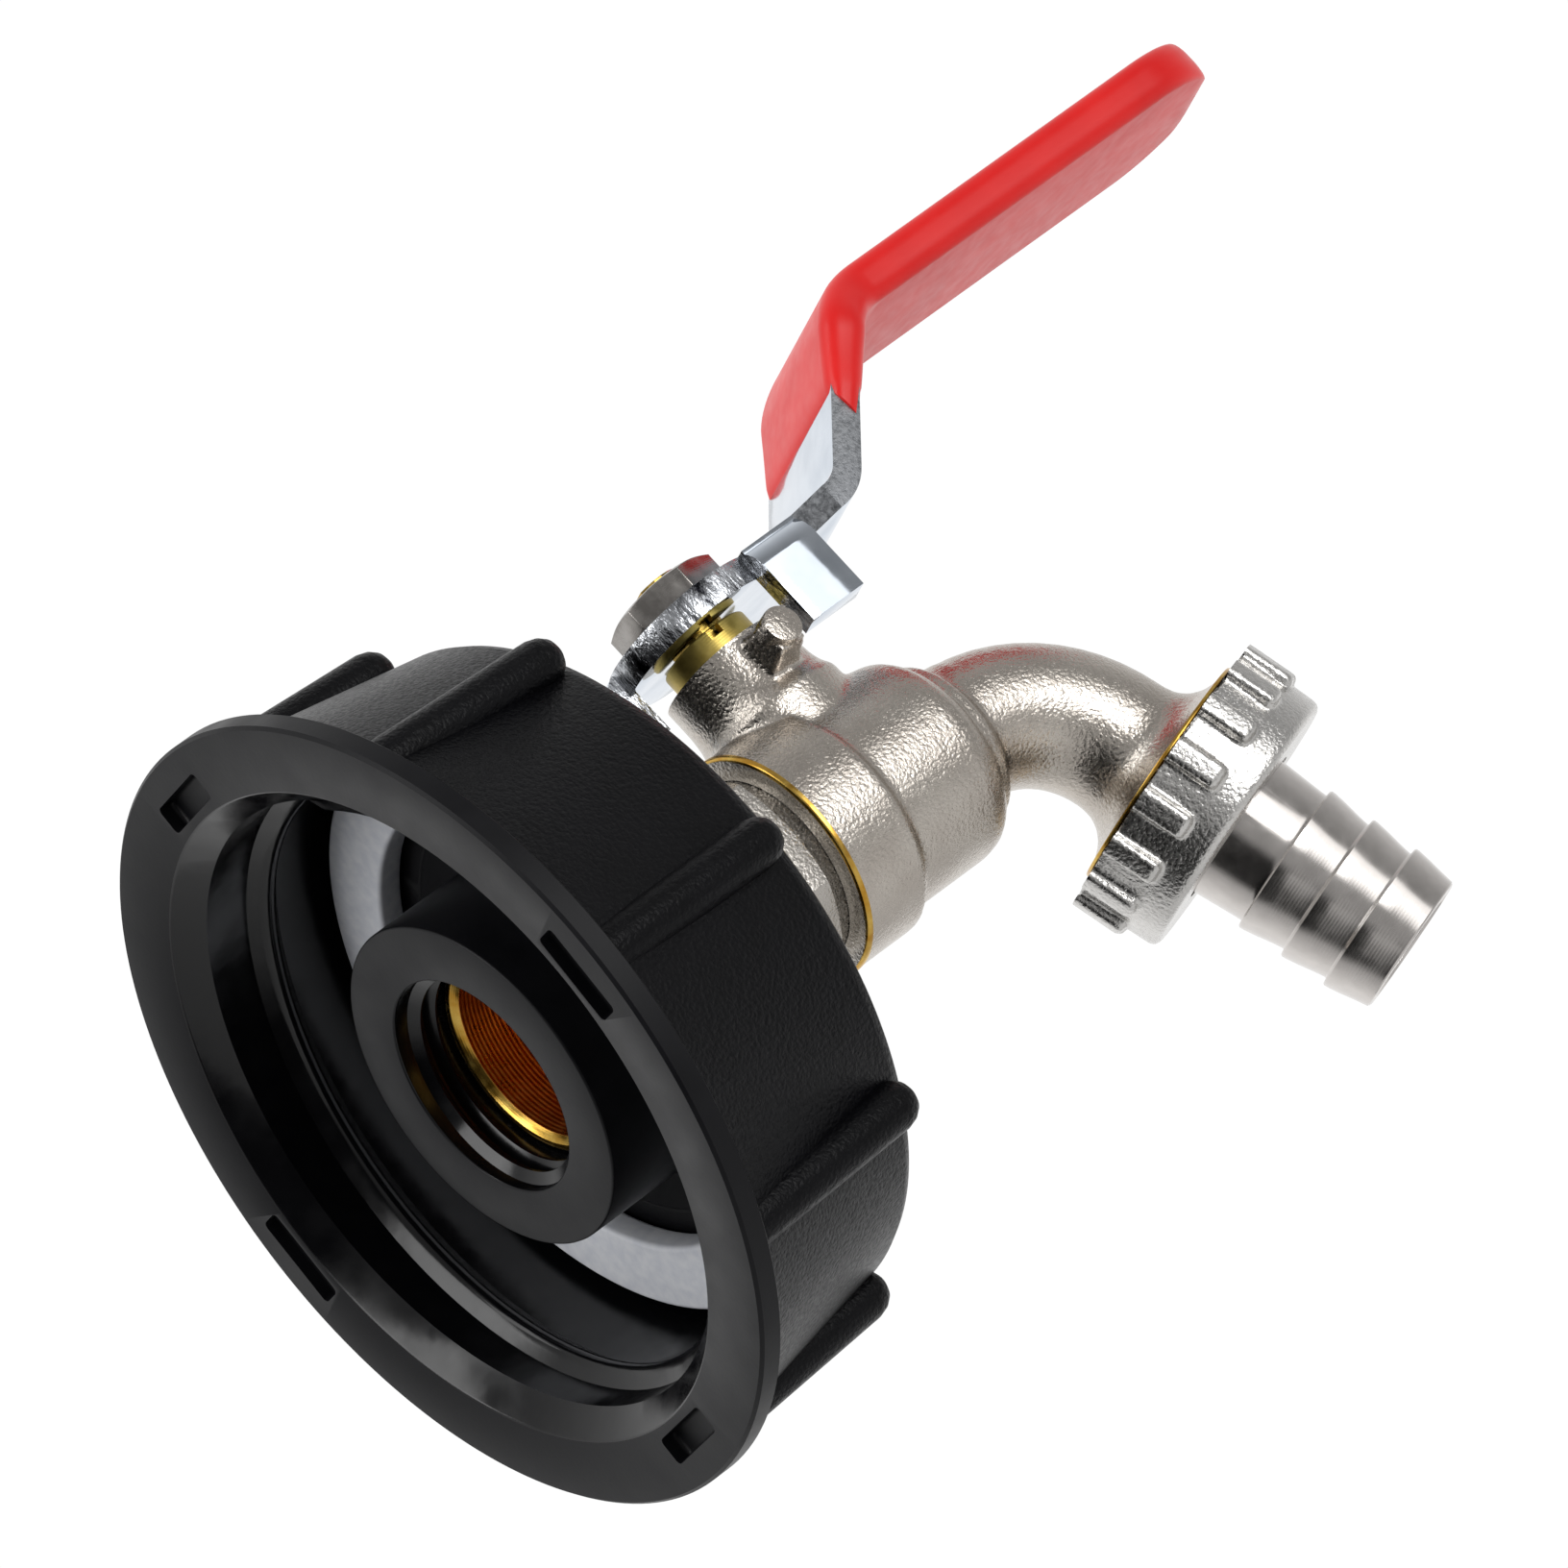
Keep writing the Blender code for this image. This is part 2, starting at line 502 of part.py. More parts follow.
def coupling_nut(axis):
    """Ribbed nut: outer rings from the rim to the back, then the lip, the bore and the mouth."""
    around = gripped_ring(
        RIB_COUNT, RIB_TURN, RIB_ACROSS_SHARES, RIB_WIDTH, WALL_FRONT_RADIUS, RIB_BETWEEN_STEPS
    )
    rings = [
        ribbed(around, RIM_RADIUS - RIM_EDGE_BREAK, 0.0, 0.0),
        ribbed(around, RIM_RADIUS, RIM_EDGE_BREAK, 0.0),
        ribbed(around, RIM_RADIUS, RIM_THICKNESS, 0.0),
        ribbed(around, WALL_FRONT_RADIUS, RIM_THICKNESS, RIB_FRONT_HEIGHT),
    ]
    for share in ROUND_END_SHARES:
        fall = 1 - math.sqrt(1 - share * share)
        height = COUPLING_DEPTH - RIB_END_ROUND * (1 - share)
        radius = WALL_BACK_RADIUS - WALL_BACK_ROUND * fall
        rings.append(ribbed(around, radius, height, RIB_BACK_HEIGHT * (1 - fall)))
    rings.append(ribbed(around, WALL_BACK_RADIUS - WALL_BACK_ROUND, COUPLING_DEPTH, 0.0))
    rings.append(ribbed(around, LIP_HOLE_RADIUS, COUPLING_DEPTH, 0.0))
    rings.append(ribbed(around, LIP_HOLE_RADIUS, LIP_FRONT_X, 0.0))
    rings.append(ribbed(around, TANK_THREAD_RADIUS, LIP_FRONT_X, 0.0))
    rings.append(ribbed(around, TANK_THREAD_RADIUS, MOUTH_TAPER_DEPTH, 0.0))
    rings.append(ribbed(around, MOUTH_RADIUS, 0.0, 0.0))
    nut = solid("coupling_nut", loft(rings, closed=True), axis)
    for i in range(POCKET_COUNT):
        low = (POCKET_RADIUS - POCKET_WIDTH / 2, -POCKET_LENGTH / 2, -CUT_OVERRUN)
        high = (POCKET_RADIUS + POCKET_WIDTH / 2, POCKET_LENGTH / 2, POCKET_DEPTH)
        pocket = solid(f"rim_pocket_cut_{i + 1}", box(low, high), axis)
        pocket.rotation_euler[2] = math.radians(RIB_TURN) + TURN * i / POCKET_COUNT
        combine(nut, pocket, "DIFFERENCE")
    dress(nut, BLACK_PLASTIC, 0.45, 0.0)


def spigot(axis):
    """Boss with a threaded bore, a flange that the nut's lip pulls on, and a neck through the lip."""
    profile = [
        (SPIGOT_FACE_X, SPIGOT_BORE_RADIUS),
        (SPIGOT_FACE_X, SPIGOT_RADIUS - SPIGOT_EDGE_BREAK),
        (SPIGOT_FACE_X + SPIGOT_EDGE_BREAK, SPIGOT_RADIUS),
        (SPIGOT_FLANGE_FRONT_X - SPIGOT_ROOT_ROUND, SPIGOT_RADIUS),
        (SPIGOT_FLANGE_FRONT_X, SPIGOT_RADIUS + SPIGOT_ROOT_ROUND),
        (SPIGOT_FLANGE_FRONT_X, SPIGOT_FLANGE_RADIUS),
        (SPIGOT_FLANGE_BACK_X, SPIGOT_FLANGE_RADIUS),
        (SPIGOT_FLANGE_BACK_X, SPIGOT_NECK_RADIUS),
        (SPIGOT_BACK_X, SPIGOT_NECK_RADIUS),
        (SPIGOT_BACK_X, SPIGOT_BORE_RADIUS),
    ]
    dress(solid("spigot", turned(profile, MAIN_STEPS), axis), BLACK_PLASTIC, 0.4, 0.0)


def tank_gasket(axis):
    profile = [
        (GASKET_FRONT_X, GASKET_INNER_RADIUS),
        (GASKET_FRONT_X, GASKET_OUTER_RADIUS),
        (GASKET_BACK_X, GASKET_OUTER_RADIUS),
        (GASKET_BACK_X, GASKET_INNER_RADIUS),
    ]
    dress(solid("tank_gasket", turned(profile, MAIN_STEPS), axis), WHITE_RUBBER, 0.6, 0.0)


def inlet_connector(axis):
    """Threaded tail in the spigot, hexagon, and the screwed nose that holds the front seat."""
    bore_end = SEAT_POCKET_FRONT_X - BORE_TAPER_LENGTH
    profile = [
        (CONNECTOR_END_X, INLET_BORE_RADIUS + INLET_CHAMFER),
        (CONNECTOR_END_X, CONNECTOR_TAIL_RADIUS - INLET_CHAMFER),
        (CONNECTOR_END_X + INLET_CHAMFER, CONNECTOR_TAIL_RADIUS),
        (HEX_FRONT_X, CONNECTOR_TAIL_RADIUS),
        (HEX_BACK_X, CONNECTOR_NECK_RADIUS),
        (NOSE_BACK_X, CONNECTOR_NECK_RADIUS),
        (NOSE_BACK_X, SEAT_POCKET_RADIUS),
        (SEAT_POCKET_FRONT_X, SEAT_POCKET_RADIUS),
        (SEAT_POCKET_FRONT_X, PORT_RADIUS),
        (bore_end + BORE_TAPER_LENGTH / 2, PORT_RADIUS),
        (bore_end - BORE_TAPER_LENGTH / 2, INLET_BORE_RADIUS),
        (CONNECTOR_END_X + INLET_CHAMFER, INLET_BORE_RADIUS),
    ]
    connector = solid("inlet_connector", turned(profile, MAIN_STEPS), axis)
    inner = (INLET_BORE_RADIUS + CONNECTOR_NECK_RADIUS) / 2
    hex_span = (HEX_FRONT_X, HEX_BACK_X)
    outer = nut_rings(HEX_ACROSS_FLATS, HEX_FACE_RADIUS, HEX_CHAMFER, *hex_span, HEX_STEPS)
    core = [circle(inner, height, len(outer[0])) for height in (HEX_BACK_X, HEX_FRONT_X)]
    combine(connector, solid("connector_hexagon", loft(outer + core, closed=True), axis), "UNION")
    dress(connector, NICKEL, 0.45, 1.0)


def seat_ring(name, axis, side):
    """PTFE seat with a hollow face that follows the ball. Side is -1 at the inlet, 1 at the outlet."""
    profile = [
        (STEM_X + side * SEAT_BACK_REACH, SEAT_INNER_RADIUS),
        (STEM_X + side * SEAT_INNER_REACH, SEAT_INNER_RADIUS),
    ]
    for i in range(1, SEAT_FACE_STEPS + 1):
        radius = SEAT_INNER_RADIUS + (SEAT_LAND_RADIUS - SEAT_INNER_RADIUS) * i / SEAT_FACE_STEPS
        profile.append((STEM_X + side * math.sqrt(SEAT_BALL_RADIUS**2 - radius**2), radius))
    profile.append((STEM_X + side * SEAT_LAND_REACH, SEAT_OUTER_RADIUS))
    profile.append((STEM_X + side * SEAT_BACK_REACH, SEAT_OUTER_RADIUS))
    dress(solid(name, turned(profile, SPOUT_STEPS), axis), WHITE_PTFE, 0.5, 0.0)


def body_barrel(axis):
    """Turned outside of the casting: machined ring, front barrel, step, barrel, shoulder and bead."""
    bead_x = SHOULDER_END_X + BODY_BEAD_LENGTH
    profile = [
        (BODY_FRONT_X, BODY_RING_RADIUS - BODY_RING_BREAK),
        (BODY_FRONT_X + BODY_RING_BREAK, BODY_RING_RADIUS),
        (BODY_FRONT_X + 2 * BODY_RING_BREAK, BODY_FRONT_RADIUS),
        (BODY_STEP_X, BODY_FRONT_RADIUS),
        (BODY_STEP_X + BODY_STEP_ROUND, BODY_RADIUS),
        (BODY_BACK_X, BODY_RADIUS),
    ]
    for share in FLARE_SHARES[1:]:
        fall = 1 - math.sqrt(1 - share * share)
        radius = BODY_RADIUS - (BODY_RADIUS - BODY_SHOULDER_RADIUS) * fall
        profile.append((BODY_BACK_X + BODY_SHOULDER_LENGTH * share, radius))
    profile += [
        (SHOULDER_END_X, BODY_BEAD_RADIUS),
        (bead_x, BODY_BEAD_RADIUS),
        (bead_x + BODY_BEAD_FILLET, SPOUT_TUBE_RADIUS),
    ]
    return solid("valve_body", turned(profile, MAIN_STEPS, closed=False), axis)


def route_ring(point, direction, radius, steps):
    """A circle square to a direction in the XZ plane, about a point of the route."""
    up = Vector((-direction.z, 0.0, direction.x))
    side = Vector((0.0, 1.0, 0.0))
    angles = [TURN * i / steps for i in range(steps)]
    return [point + side * (radius * math.cos(a)) + up * (radius * math.sin(a)) for a in angles]


def bend(corner, inward, outward, radius, steps):
    """Stations round a bend in the XZ plane: points with their directions."""
    angle = inward.angle(outward)
    reach = radius * math.tan(angle / 2)
    turn_sign = 1 if inward.x * outward.z - inward.z * outward.x > 0 else -1
    normal = Vector((-inward.z, 0.0, inward.x)) * turn_sign
    start = corner - inward * reach
    stations = []
    for i in range(steps + 1):
        a = angle * i / steps
        point = start + inward * (radius * math.sin(a)) + normal * (radius * (1 - math.cos(a)))
        direction = inward * math.cos(a) + normal * math.sin(a)
        stations.append((point, direction))
    return stations


def spout_solids():
    """Outside and bore of the elbow: straight out of the body, round the bend, to the outlet thread."""
    flow = Vector((1.0, 0.0, 0.0))
    start = Vector((SHOULDER_END_X, 0.0, 0.0))
    stations = bend(SPOUT_CORNER, flow, OUTLET_DIRECTION, SPOUT_BEND_RADIUS, SPOUT_BEND_STEPS)
    outside = [route_ring(start, flow, SPOUT_TUBE_RADIUS, SPOUT_STEPS)]
    bore_start = Vector((SEAT_POCKET_BACK_X - CUT_OVERRUN, 0.0, 0.0))
    inside = [route_ring(bore_start, flow, PORT_RADIUS, SPOUT_STEPS)]
    for point, direction in stations:
        outside.append(route_ring(point, direction, SPOUT_TUBE_RADIUS, SPOUT_STEPS))
        inside.append(route_ring(point, direction, PORT_RADIUS, SPOUT_STEPS))
    flare = SPOUT_FLANGE_RADIUS - SPOUT_TUBE_RADIUS
    for i in range(SPOUT_FLARE_STEPS + 1):
        share = i / SPOUT_FLARE_STEPS
        along = -SEAT_GAP - SPOUT_FLARE_LENGTH * (1 - math.sin(share * TURN / 4))
        radius = SPOUT_TUBE_RADIUS + flare * (1 - math.cos(share * TURN / 4))
        point = OUTLET_ORIGIN + OUTLET_DIRECTION * along
        outside.append(route_ring(point, OUTLET_DIRECTION, radius, SPOUT_STEPS))
    thread_start = OUTLET_ORIGIN - OUTLET_DIRECTION * SEAT_GAP
    outside.append(route_ring(thread_start, OUTLET_DIRECTION, OUTLET_THREAD_RADIUS, SPOUT_STEPS))
    end = OUTLET_ORIGIN + OUTLET_DIRECTION * OUTLET_THREAD_LENGTH
    outside.append(route_ring(end, OUTLET_DIRECTION, OUTLET_THREAD_RADIUS, SPOUT_STEPS))
    past = end + OUTLET_DIRECTION * CUT_OVERRUN
    inside.append(route_ring(past, OUTLET_DIRECTION, PORT_RADIUS, SPOUT_STEPS))
    return loft(outside), loft(inside)


def stem_boss_solid():
    """Cast boss round the stem, flaring into the barrel."""
    profile = [(BOSS_TOP_Z, BOSS_RADIUS - BOSS_EDGE_ROUND)]
    profile.append((BOSS_TOP_Z - BOSS_EDGE_ROUND, BOSS_RADIUS))
    flare_height = BOSS_FLARE_BASE_DROP - BOSS_FLARE_TOP_DROP
    for share in FLARE_SHARES:
        height = BOSS_TOP_Z - BOSS_FLARE_TOP_DROP - flare_height * share
        profile.append((height, BOSS_RADIUS + BOSS_FLARE_WIDTH * share * share))
    profile.append((BOSS_FOOT_Z, BOSS_BASE_RADIUS))
    return turned(profile, SPOUT_STEPS, closed=False)


def square_point(angle, half_width, top, bottom):
    """Where a ray from the peg's middle meets its rectangular foot."""
    across = math.cos(angle)
    up = math.sin(angle)
    height = top if up > 0 else bottom
    scale = min(half_width / abs(across), height / abs(up))
    return across * scale, up * scale


def peg_solid():
    """Stop peg: a rectangular foot on the boss that tapers to a round end."""
    foot = []
    angles = [TURN / 8 + TURN * i / PEG_STEPS for i in range(PEG_STEPS)]
    for angle in angles:
        across, up = square_point(angle, PEG_BASE_WIDTH / 2, PEG_BASE_ABOVE, PEG_BASE_BELOW)
        foot.append((across, up))
    rings = [[Vector((reach, x, PEG_Z + z)) for x, z in foot] for reach in (STEM_BORE_RADIUS, BOSS_RADIUS)]
    ends = (
        (PEG_REACH - PEG_EDGE_BREAK, PEG_RADIUS),
        (PEG_REACH, PEG_RADIUS - PEG_EDGE_BREAK),
    )
    for reach, radius in ends:
        rings.append([Vector((reach, radius * math.cos(a), PEG_Z + radius * math.sin(a))) for a in angles])
    return loft(rings)


def stem_bore_solid():
    """Bore for the stem from the ball chamber to the boss's top, widest at the packing."""
    flange_pocket_radius = STEM_FLANGE_RADIUS + SEAT_GAP
    profile = [
        (STEM_FLANGE_BOTTOM_Z - CUT_OVERRUN, flange_pocket_radius),
        (STEM_WEB_BOTTOM_Z, flange_pocket_radius),
        (STEM_WEB_BOTTOM_Z, STEM_BORE_RADIUS),
        (STEM_WEB_TOP_Z, STEM_BORE_RADIUS),
        (STEM_WEB_TOP_Z, PACKING_BORE_RADIUS),
        (BOSS_TOP_Z + CUT_OVERRUN, PACKING_BORE_RADIUS),
    ]
    return turned(profile, SPOUT_STEPS, closed=False)


def chamber_solid():
    """Socket that the connector's nose screws into, with the ball chamber and seat pocket behind it."""
    profile = [
        (BODY_FRONT_X - CUT_OVERRUN, NOSE_SOCKET_RADIUS),
        (NOSE_BACK_X + SEAT_GAP, NOSE_SOCKET_RADIUS),
        (NOSE_BACK_X + SEAT_GAP, CHAMBER_RADIUS),
        (SEAT_POCKET_BACK_X, CHAMBER_RADIUS),
    ]
    return turned(profile, MAIN_STEPS, closed=False)


def valve_body(flow_axis, stem_axis):
    body = body_barrel(flow_axis)
    outside, inside = spout_solids()
    combine(body, solid("spout_outside", outside, None), "UNION")
    combine(body, solid("stem_boss", stem_boss_solid(), stem_axis), "UNION")
    peg = solid("stop_peg", peg_solid(), stem_axis)
    peg.rotation_euler[2] = math.radians(PEG_TURN)
    combine(body, peg, "UNION")
    combine(body, solid("chamber_cut", chamber_solid(), flow_axis), "DIFFERENCE")
    combine(body, solid("spout_bore_cut", inside, None), "DIFFERENCE")
    combine(body, solid("stem_bore_cut", stem_bore_solid(), stem_axis), "DIFFERENCE")
    dress(body, NICKEL, 0.45, 1.0)


def ball(axis):
    """Bored ball with a slot across its top for the stem's tang."""
    profile = []
    start = math.asin(PORT_RADIUS / BALL_RADIUS)
    for i in range(BALL_STEPS + 1):
        angle = start + (math.pi - 2 * start) * i / BALL_STEPS
        profile.append((-BALL_RADIUS * math.cos(angle), BALL_RADIUS * math.sin(angle)))
    made = solid("ball", turned(profile, SPOUT_STEPS), axis)
    made.rotation_euler[1] = TURN / 4
    low = (-BALL_SLOT_WIDTH / 2, -BALL_RADIUS, BALL_SLOT_FLOOR_Z)
    high = (BALL_SLOT_WIDTH / 2, BALL_RADIUS, BALL_RADIUS + CUT_OVERRUN)
    combine(made, solid("ball_slot_cut", box(low, high), axis), "DIFFERENCE")
    dress(made, CHROME, 0.1, 1.0)


def stem(axis):
    """Brass stem: tang, flange, round shank, two flats for the lever and a threaded end."""
    flange = [
        (STEM_FLANGE_BOTTOM_Z, STEM_FLANGE_RADIUS),
        (STEM_FLANGE_TOP_Z, STEM_FLANGE_RADIUS),
        (STEM_FLANGE_TOP_Z, STEM_RADIUS),
        (GLAND_TOP_Z, STEM_RADIUS),
    ]
    made = solid("stem", turned(flange, SMALL_STEPS, closed=False), axis)
    tang_high = STEM_FLANGE_BOTTOM_Z + STEM_FLANGE_THICKNESS / 2
    low = (-STEM_TANG_WIDTH / 2, -STEM_TANG_LENGTH / 2, TANG_BOTTOM_Z)
    high = (STEM_TANG_WIDTH / 2, STEM_TANG_LENGTH / 2, tang_high)
    combine(made, solid("stem_tang", box(low, high), axis), "UNION")
    flats = double_flat(STEM_THREAD_RADIUS, STEM_FLATS, FLATS_STEPS)
    flats_top = NUT_TOP_Z + STEM_STANDOUT
    flats_bottom = flats_top - STEM_FLATS_LENGTH
    combine(made, solid("stem_flats", prism(flats, flats_bottom, flats_top), axis), "UNION")
    dress(made, BRASS, 0.3, 1.0)


def ring_piece(name, axis, inner, outer, bottom, top, finish):
    """A plain flat ring, such as a washer."""
    profile = [(bottom, inner), (bottom, outer), (top, outer), (top, inner)]
    dress(solid(name, turned(profile, SMALL_STEPS), axis), *finish)


def stem_o_ring(axis):
    middle = (STEM_RADIUS + PACKING_BORE_RADIUS) / 2
    profile = []
    for i in range(O_RING_SECTION_STEPS):
        angle = TURN * i / O_RING_SECTION_STEPS
        height = O_RING_Z + O_RING_SECTION_RADIUS * math.sin(angle)
        profile.append((height, middle + O_RING_SECTION_RADIUS * math.cos(angle)))
    dress(solid("stem_o_ring", turned(profile, SMALL_STEPS), axis), BLACK_RUBBER, 0.6, 0.0)


def gland_nut(axis):
    """Slotted brass gland that presses the packing down."""
    inner = STEM_BORE_RADIUS
    profile = [
        (GLAND_BOTTOM_Z, inner),
        (GLAND_BOTTOM_Z, GLAND_RADIUS),
        (GLAND_TOP_Z, GLAND_RADIUS),
        (GLAND_TOP_Z, inner),
    ]
    made = solid("gland_nut", turned(profile, SMALL_STEPS), axis)
    reach = GLAND_RADIUS + CUT_OVERRUN
    low = (-reach, -GLAND_SLOT_WIDTH / 2, GLAND_TOP_Z - GLAND_SLOT_DEPTH)
    high = (reach, GLAND_SLOT_WIDTH / 2, GLAND_TOP_Z + CUT_OVERRUN)
    slot = solid("gland_slot_cut", box(low, high), axis)
    slot.rotation_euler[2] = math.radians(GLAND_SLOT_TURN)
    combine(made, slot, "DIFFERENCE")
    dress(made, BRASS, 0.35, 1.0)


def lever_stations():
    """Route of the strap's middle from the stem: point, direction and half width at each station."""
    middle_z = LEVER_BOTTOM_Z + LEVER_THICKNESS / 2
    slope = math.radians(LEVER_RISE_SLOPE)
    flat = Vector((1.0, 0.0, 0.0))
    rising = Vector((math.cos(slope), 0.0, math.sin(slope)))
    lower = Vector((LEVER_LOWER_CORNER_DISTANCE, 0.0, middle_z))
    run = (LEVER_ARM_Z - middle_z) / math.tan(slope)
    upper = Vector((lower.x + run, 0.0, LEVER_ARM_Z))
    root_x = (LEVER_ROOT_DISTANCE, LEVER_ROOT_DISTANCE + STOP_TAB_LENGTH)
    root = [(Vector((x, 0.0, middle_z)), flat, LEVER_ROOT_HALF_WIDTH) for x in root_x]
    for point, direction in bend(lower, flat, rising, LEVER_LOWER_BEND, LEVER_BEND_STEPS):
        root.append((point, direction, LEVER_RISE_HALF_WIDTH))
    mouth = (lower + rising * SLEEVE_MOUTH_DISTANCE, rising, LEVER_RISE_HALF_WIDTH)
    narrowing = LEVER_RISE_HALF_WIDTH - LEVER_ARM_HALF_WIDTH
    upper_bend = []
    for i, (point, direction) in enumerate(
        bend(upper, rising, flat, LEVER_UPPER_BEND, LEVER_BEND_STEPS)
    ):
        share = i / LEVER_BEND_STEPS
        eased = share * share * (3 - 2 * share)
        upper_bend.append((point, direction, LEVER_RISE_HALF_WIDTH - narrowing * eased))
    return root, mouth, upper_bend


def strap_ring(point, direction, half_width, half_thickness):
    """A rectangle square to the route."""
    up = Vector((-direction.z, 0.0, direction.x)) * half_thickness
    side = Vector((0.0, half_width, 0.0))
    return [point - side - up, point + side - up, point + side + up, point - side + up]


def rounded_ring(point, direction, half_width, half_thickness, corner):
    """A rectangle with round corners square to the route."""
    up = Vector((-direction.z, 0.0, direction.x))
    side = Vector((0.0, 1.0, 0.0))
    corner = min(corner, half_width, half_thickness)
    ring = []
    for quarter in range(4):
        sign_y = 1 if quarter in (0, 3) else -1
        sign_z = 1 if quarter in (0, 1) else -1
        for i in range(SLEEVE_CORNER_POINTS):
            angle = TURN / 4 * (quarter + i / (SLEEVE_CORNER_POINTS - 1))
            across = sign_y * (half_width - corner) + corner * math.cos(angle)
            height = sign_z * (half_thickness - corner) + corner * math.sin(angle)
            ring.append(point + side * across + up * height)
    return ring


def tip_stations(half_width):
    """Stations round the lever's round end, for a strap or pocket of that half width."""
    start = LEVER_REACH - LEVER_ARM_HALF_WIDTH
    flat = Vector((1.0, 0.0, 0.0))
    made = []
    for share in TIP_SHARES:
        point = Vector((start + half_width * share, 0.0, LEVER_ARM_Z))
        made.append((point, flat, half_width * math.sqrt(1 - share * share)))
    return made


def lever(axis):
    """Stamped lever: disc on the stem, strap bent twice, round tip, and two stop tabs bent down."""
    root, _, upper_bend = lever_stations()
    stations = root + upper_bend + tip_stations(LEVER_ARM_HALF_WIDTH)
    rings = [strap_ring(*station, LEVER_THICKNESS / 2) for station in stations]
    made = solid("lever", loft(rings), axis)
    disc = [(LEVER_BOTTOM_Z, LEVER_DISC_RADIUS), (LEVER_TOP_Z, LEVER_DISC_RADIUS)]
    combine(made, solid("lever_disc", turned(disc, MAIN_STEPS, closed=False), axis), "UNION")
    stop_tab = tab_solid(LEVER_ROOT_HALF_WIDTH, STOP_TAB_REACH, STOP_TAB_DROP, STOP_TAB_LENGTH)
    stop_tab_object = solid("lever_stop_tab", stop_tab, axis)
    stop_tab_object.location[0] = LEVER_ROOT_DISTANCE
    combine(made, stop_tab_object, "UNION")
    close_tab = tab_solid(LEVER_DISC_RADIUS, CLOSE_TAB_REACH, CLOSE_TAB_DROP, CLOSE_TAB_LENGTH)
    close_tab_object = solid("lever_close_tab", close_tab, axis)
    close_tab_object.rotation_euler[2] = -TURN / 4
    close_tab_object.location[1] = CLOSE_TAB_START + CLOSE_TAB_LENGTH
    combine(made, close_tab_object, "UNION")
    hole = double_flat(STEM_THREAD_RADIUS + SEAT_GAP, STEM_FLATS + 2 * SEAT_GAP, FLATS_STEPS)
    hole_solid = prism(hole, LEVER_BOTTOM_Z - CUT_OVERRUN, LEVER_TOP_Z + CUT_OVERRUN)
    combine(made, solid("lever_hole_cut", hole_solid, axis), "DIFFERENCE")
    dress(made, CHROME, 0.12, 1.0)


def tab_solid(edge, reach, drop, length):
    """A tab bent down from an edge of the plate, towards -Y: its profile, swept along X."""
    outer = -reach
    inner = outer + LEVER_THICKNESS
    root = -edge + LEVER_THICKNESS
    foot_z = LEVER_BOTTOM_Z - drop
    outline = [(outer, foot_z), (inner, foot_z), (inner, LEVER_BOTTOM_Z)]
    outline += [(root, LEVER_BOTTOM_Z), (root, LEVER_TOP_Z)]
    for i in range(TAB_BEND_STEPS + 1):
        angle = TURN / 4 * i / TAB_BEND_STEPS
        y = inner - LEVER_THICKNESS * math.sin(angle)
        z = LEVER_BOTTOM_Z + LEVER_THICKNESS * math.cos(angle)
        outline.append((y, z))
    return loft([[Vector((x, y, z)) for y, z in outline] for x in (0.0, length)])


def sleeve_skin(mouth, upper_bend, pocket_thickness):
    """Outer rings of the sleeve: thin at its mouth, full from the bend on, closed round the tip."""
    rings = []
    for i, (point, direction, half_width) in enumerate([mouth] + upper_bend):
        wall = SLEEVE_WALL if i else SLEEVE_MOUTH_WALL
        width = half_width + SLEEVE_GAP + wall
        rings.append(rounded_ring(point, direction, width, pocket_thickness + wall, SLEEVE_CORNER))
    pocket_width = LEVER_ARM_HALF_WIDTH + SLEEVE_GAP
    skin_width = pocket_width + SLEEVE_WALL
    full_share = pocket_width / skin_width
    for share, (point, direction, width) in zip(TIP_SHARES, tip_stations(skin_width)):
        past = max(0.0, share - full_share) / (1 - full_share)
        thickness = (pocket_thickness + SLEEVE_WALL) * math.sqrt(1 - past * past)
        rings.append(rounded_ring(point, direction, width, thickness, SLEEVE_CORNER))
    return rings


def lever_sleeve(axis):
    """Dipped vinyl sleeve: outer skin from tip to mouth, then the pocket back to the tip."""
    _, mouth, upper_bend = lever_stations()
    pocket_thickness = LEVER_THICKNESS / 2 + SLEEVE_GAP
    pocket = []
    for point, direction, half_width in [mouth] + upper_bend:
        width = half_width + SLEEVE_GAP
        ring = rounded_ring(point, direction, width, pocket_thickness, SLEEVE_POCKET_CORNER)
        pocket.append(ring)
    for station in tip_stations(LEVER_ARM_HALF_WIDTH + SLEEVE_GAP):
        pocket.append(rounded_ring(*station, pocket_thickness, SLEEVE_POCKET_CORNER))
    skin = sleeve_skin(mouth, upper_bend, pocket_thickness)
    made = solid("lever_sleeve", loft(skin[::-1] + pocket), axis)
    dress(made, RED_VINYL, 0.3, 0.0)


def lever_nut(axis):
    """Hexagon nut on the stem's thread."""
    outer = nut_rings(NUT_ACROSS_FLATS, NUT_FACE_RADIUS, NUT_CHAMFER, NUT_BOTTOM_Z, NUT_TOP_Z, NUT_STEPS)
    bore = STEM_THREAD_RADIUS + SEAT_GAP
    core = [circle(bore, height, len(outer[0])) for height in (NUT_TOP_Z, NUT_BOTTOM_Z)]
    made = solid("lever_nut", loft(outer + core, closed=True), axis, 20.0)
    dress(made, NICKEL, 0.3, 1.0)


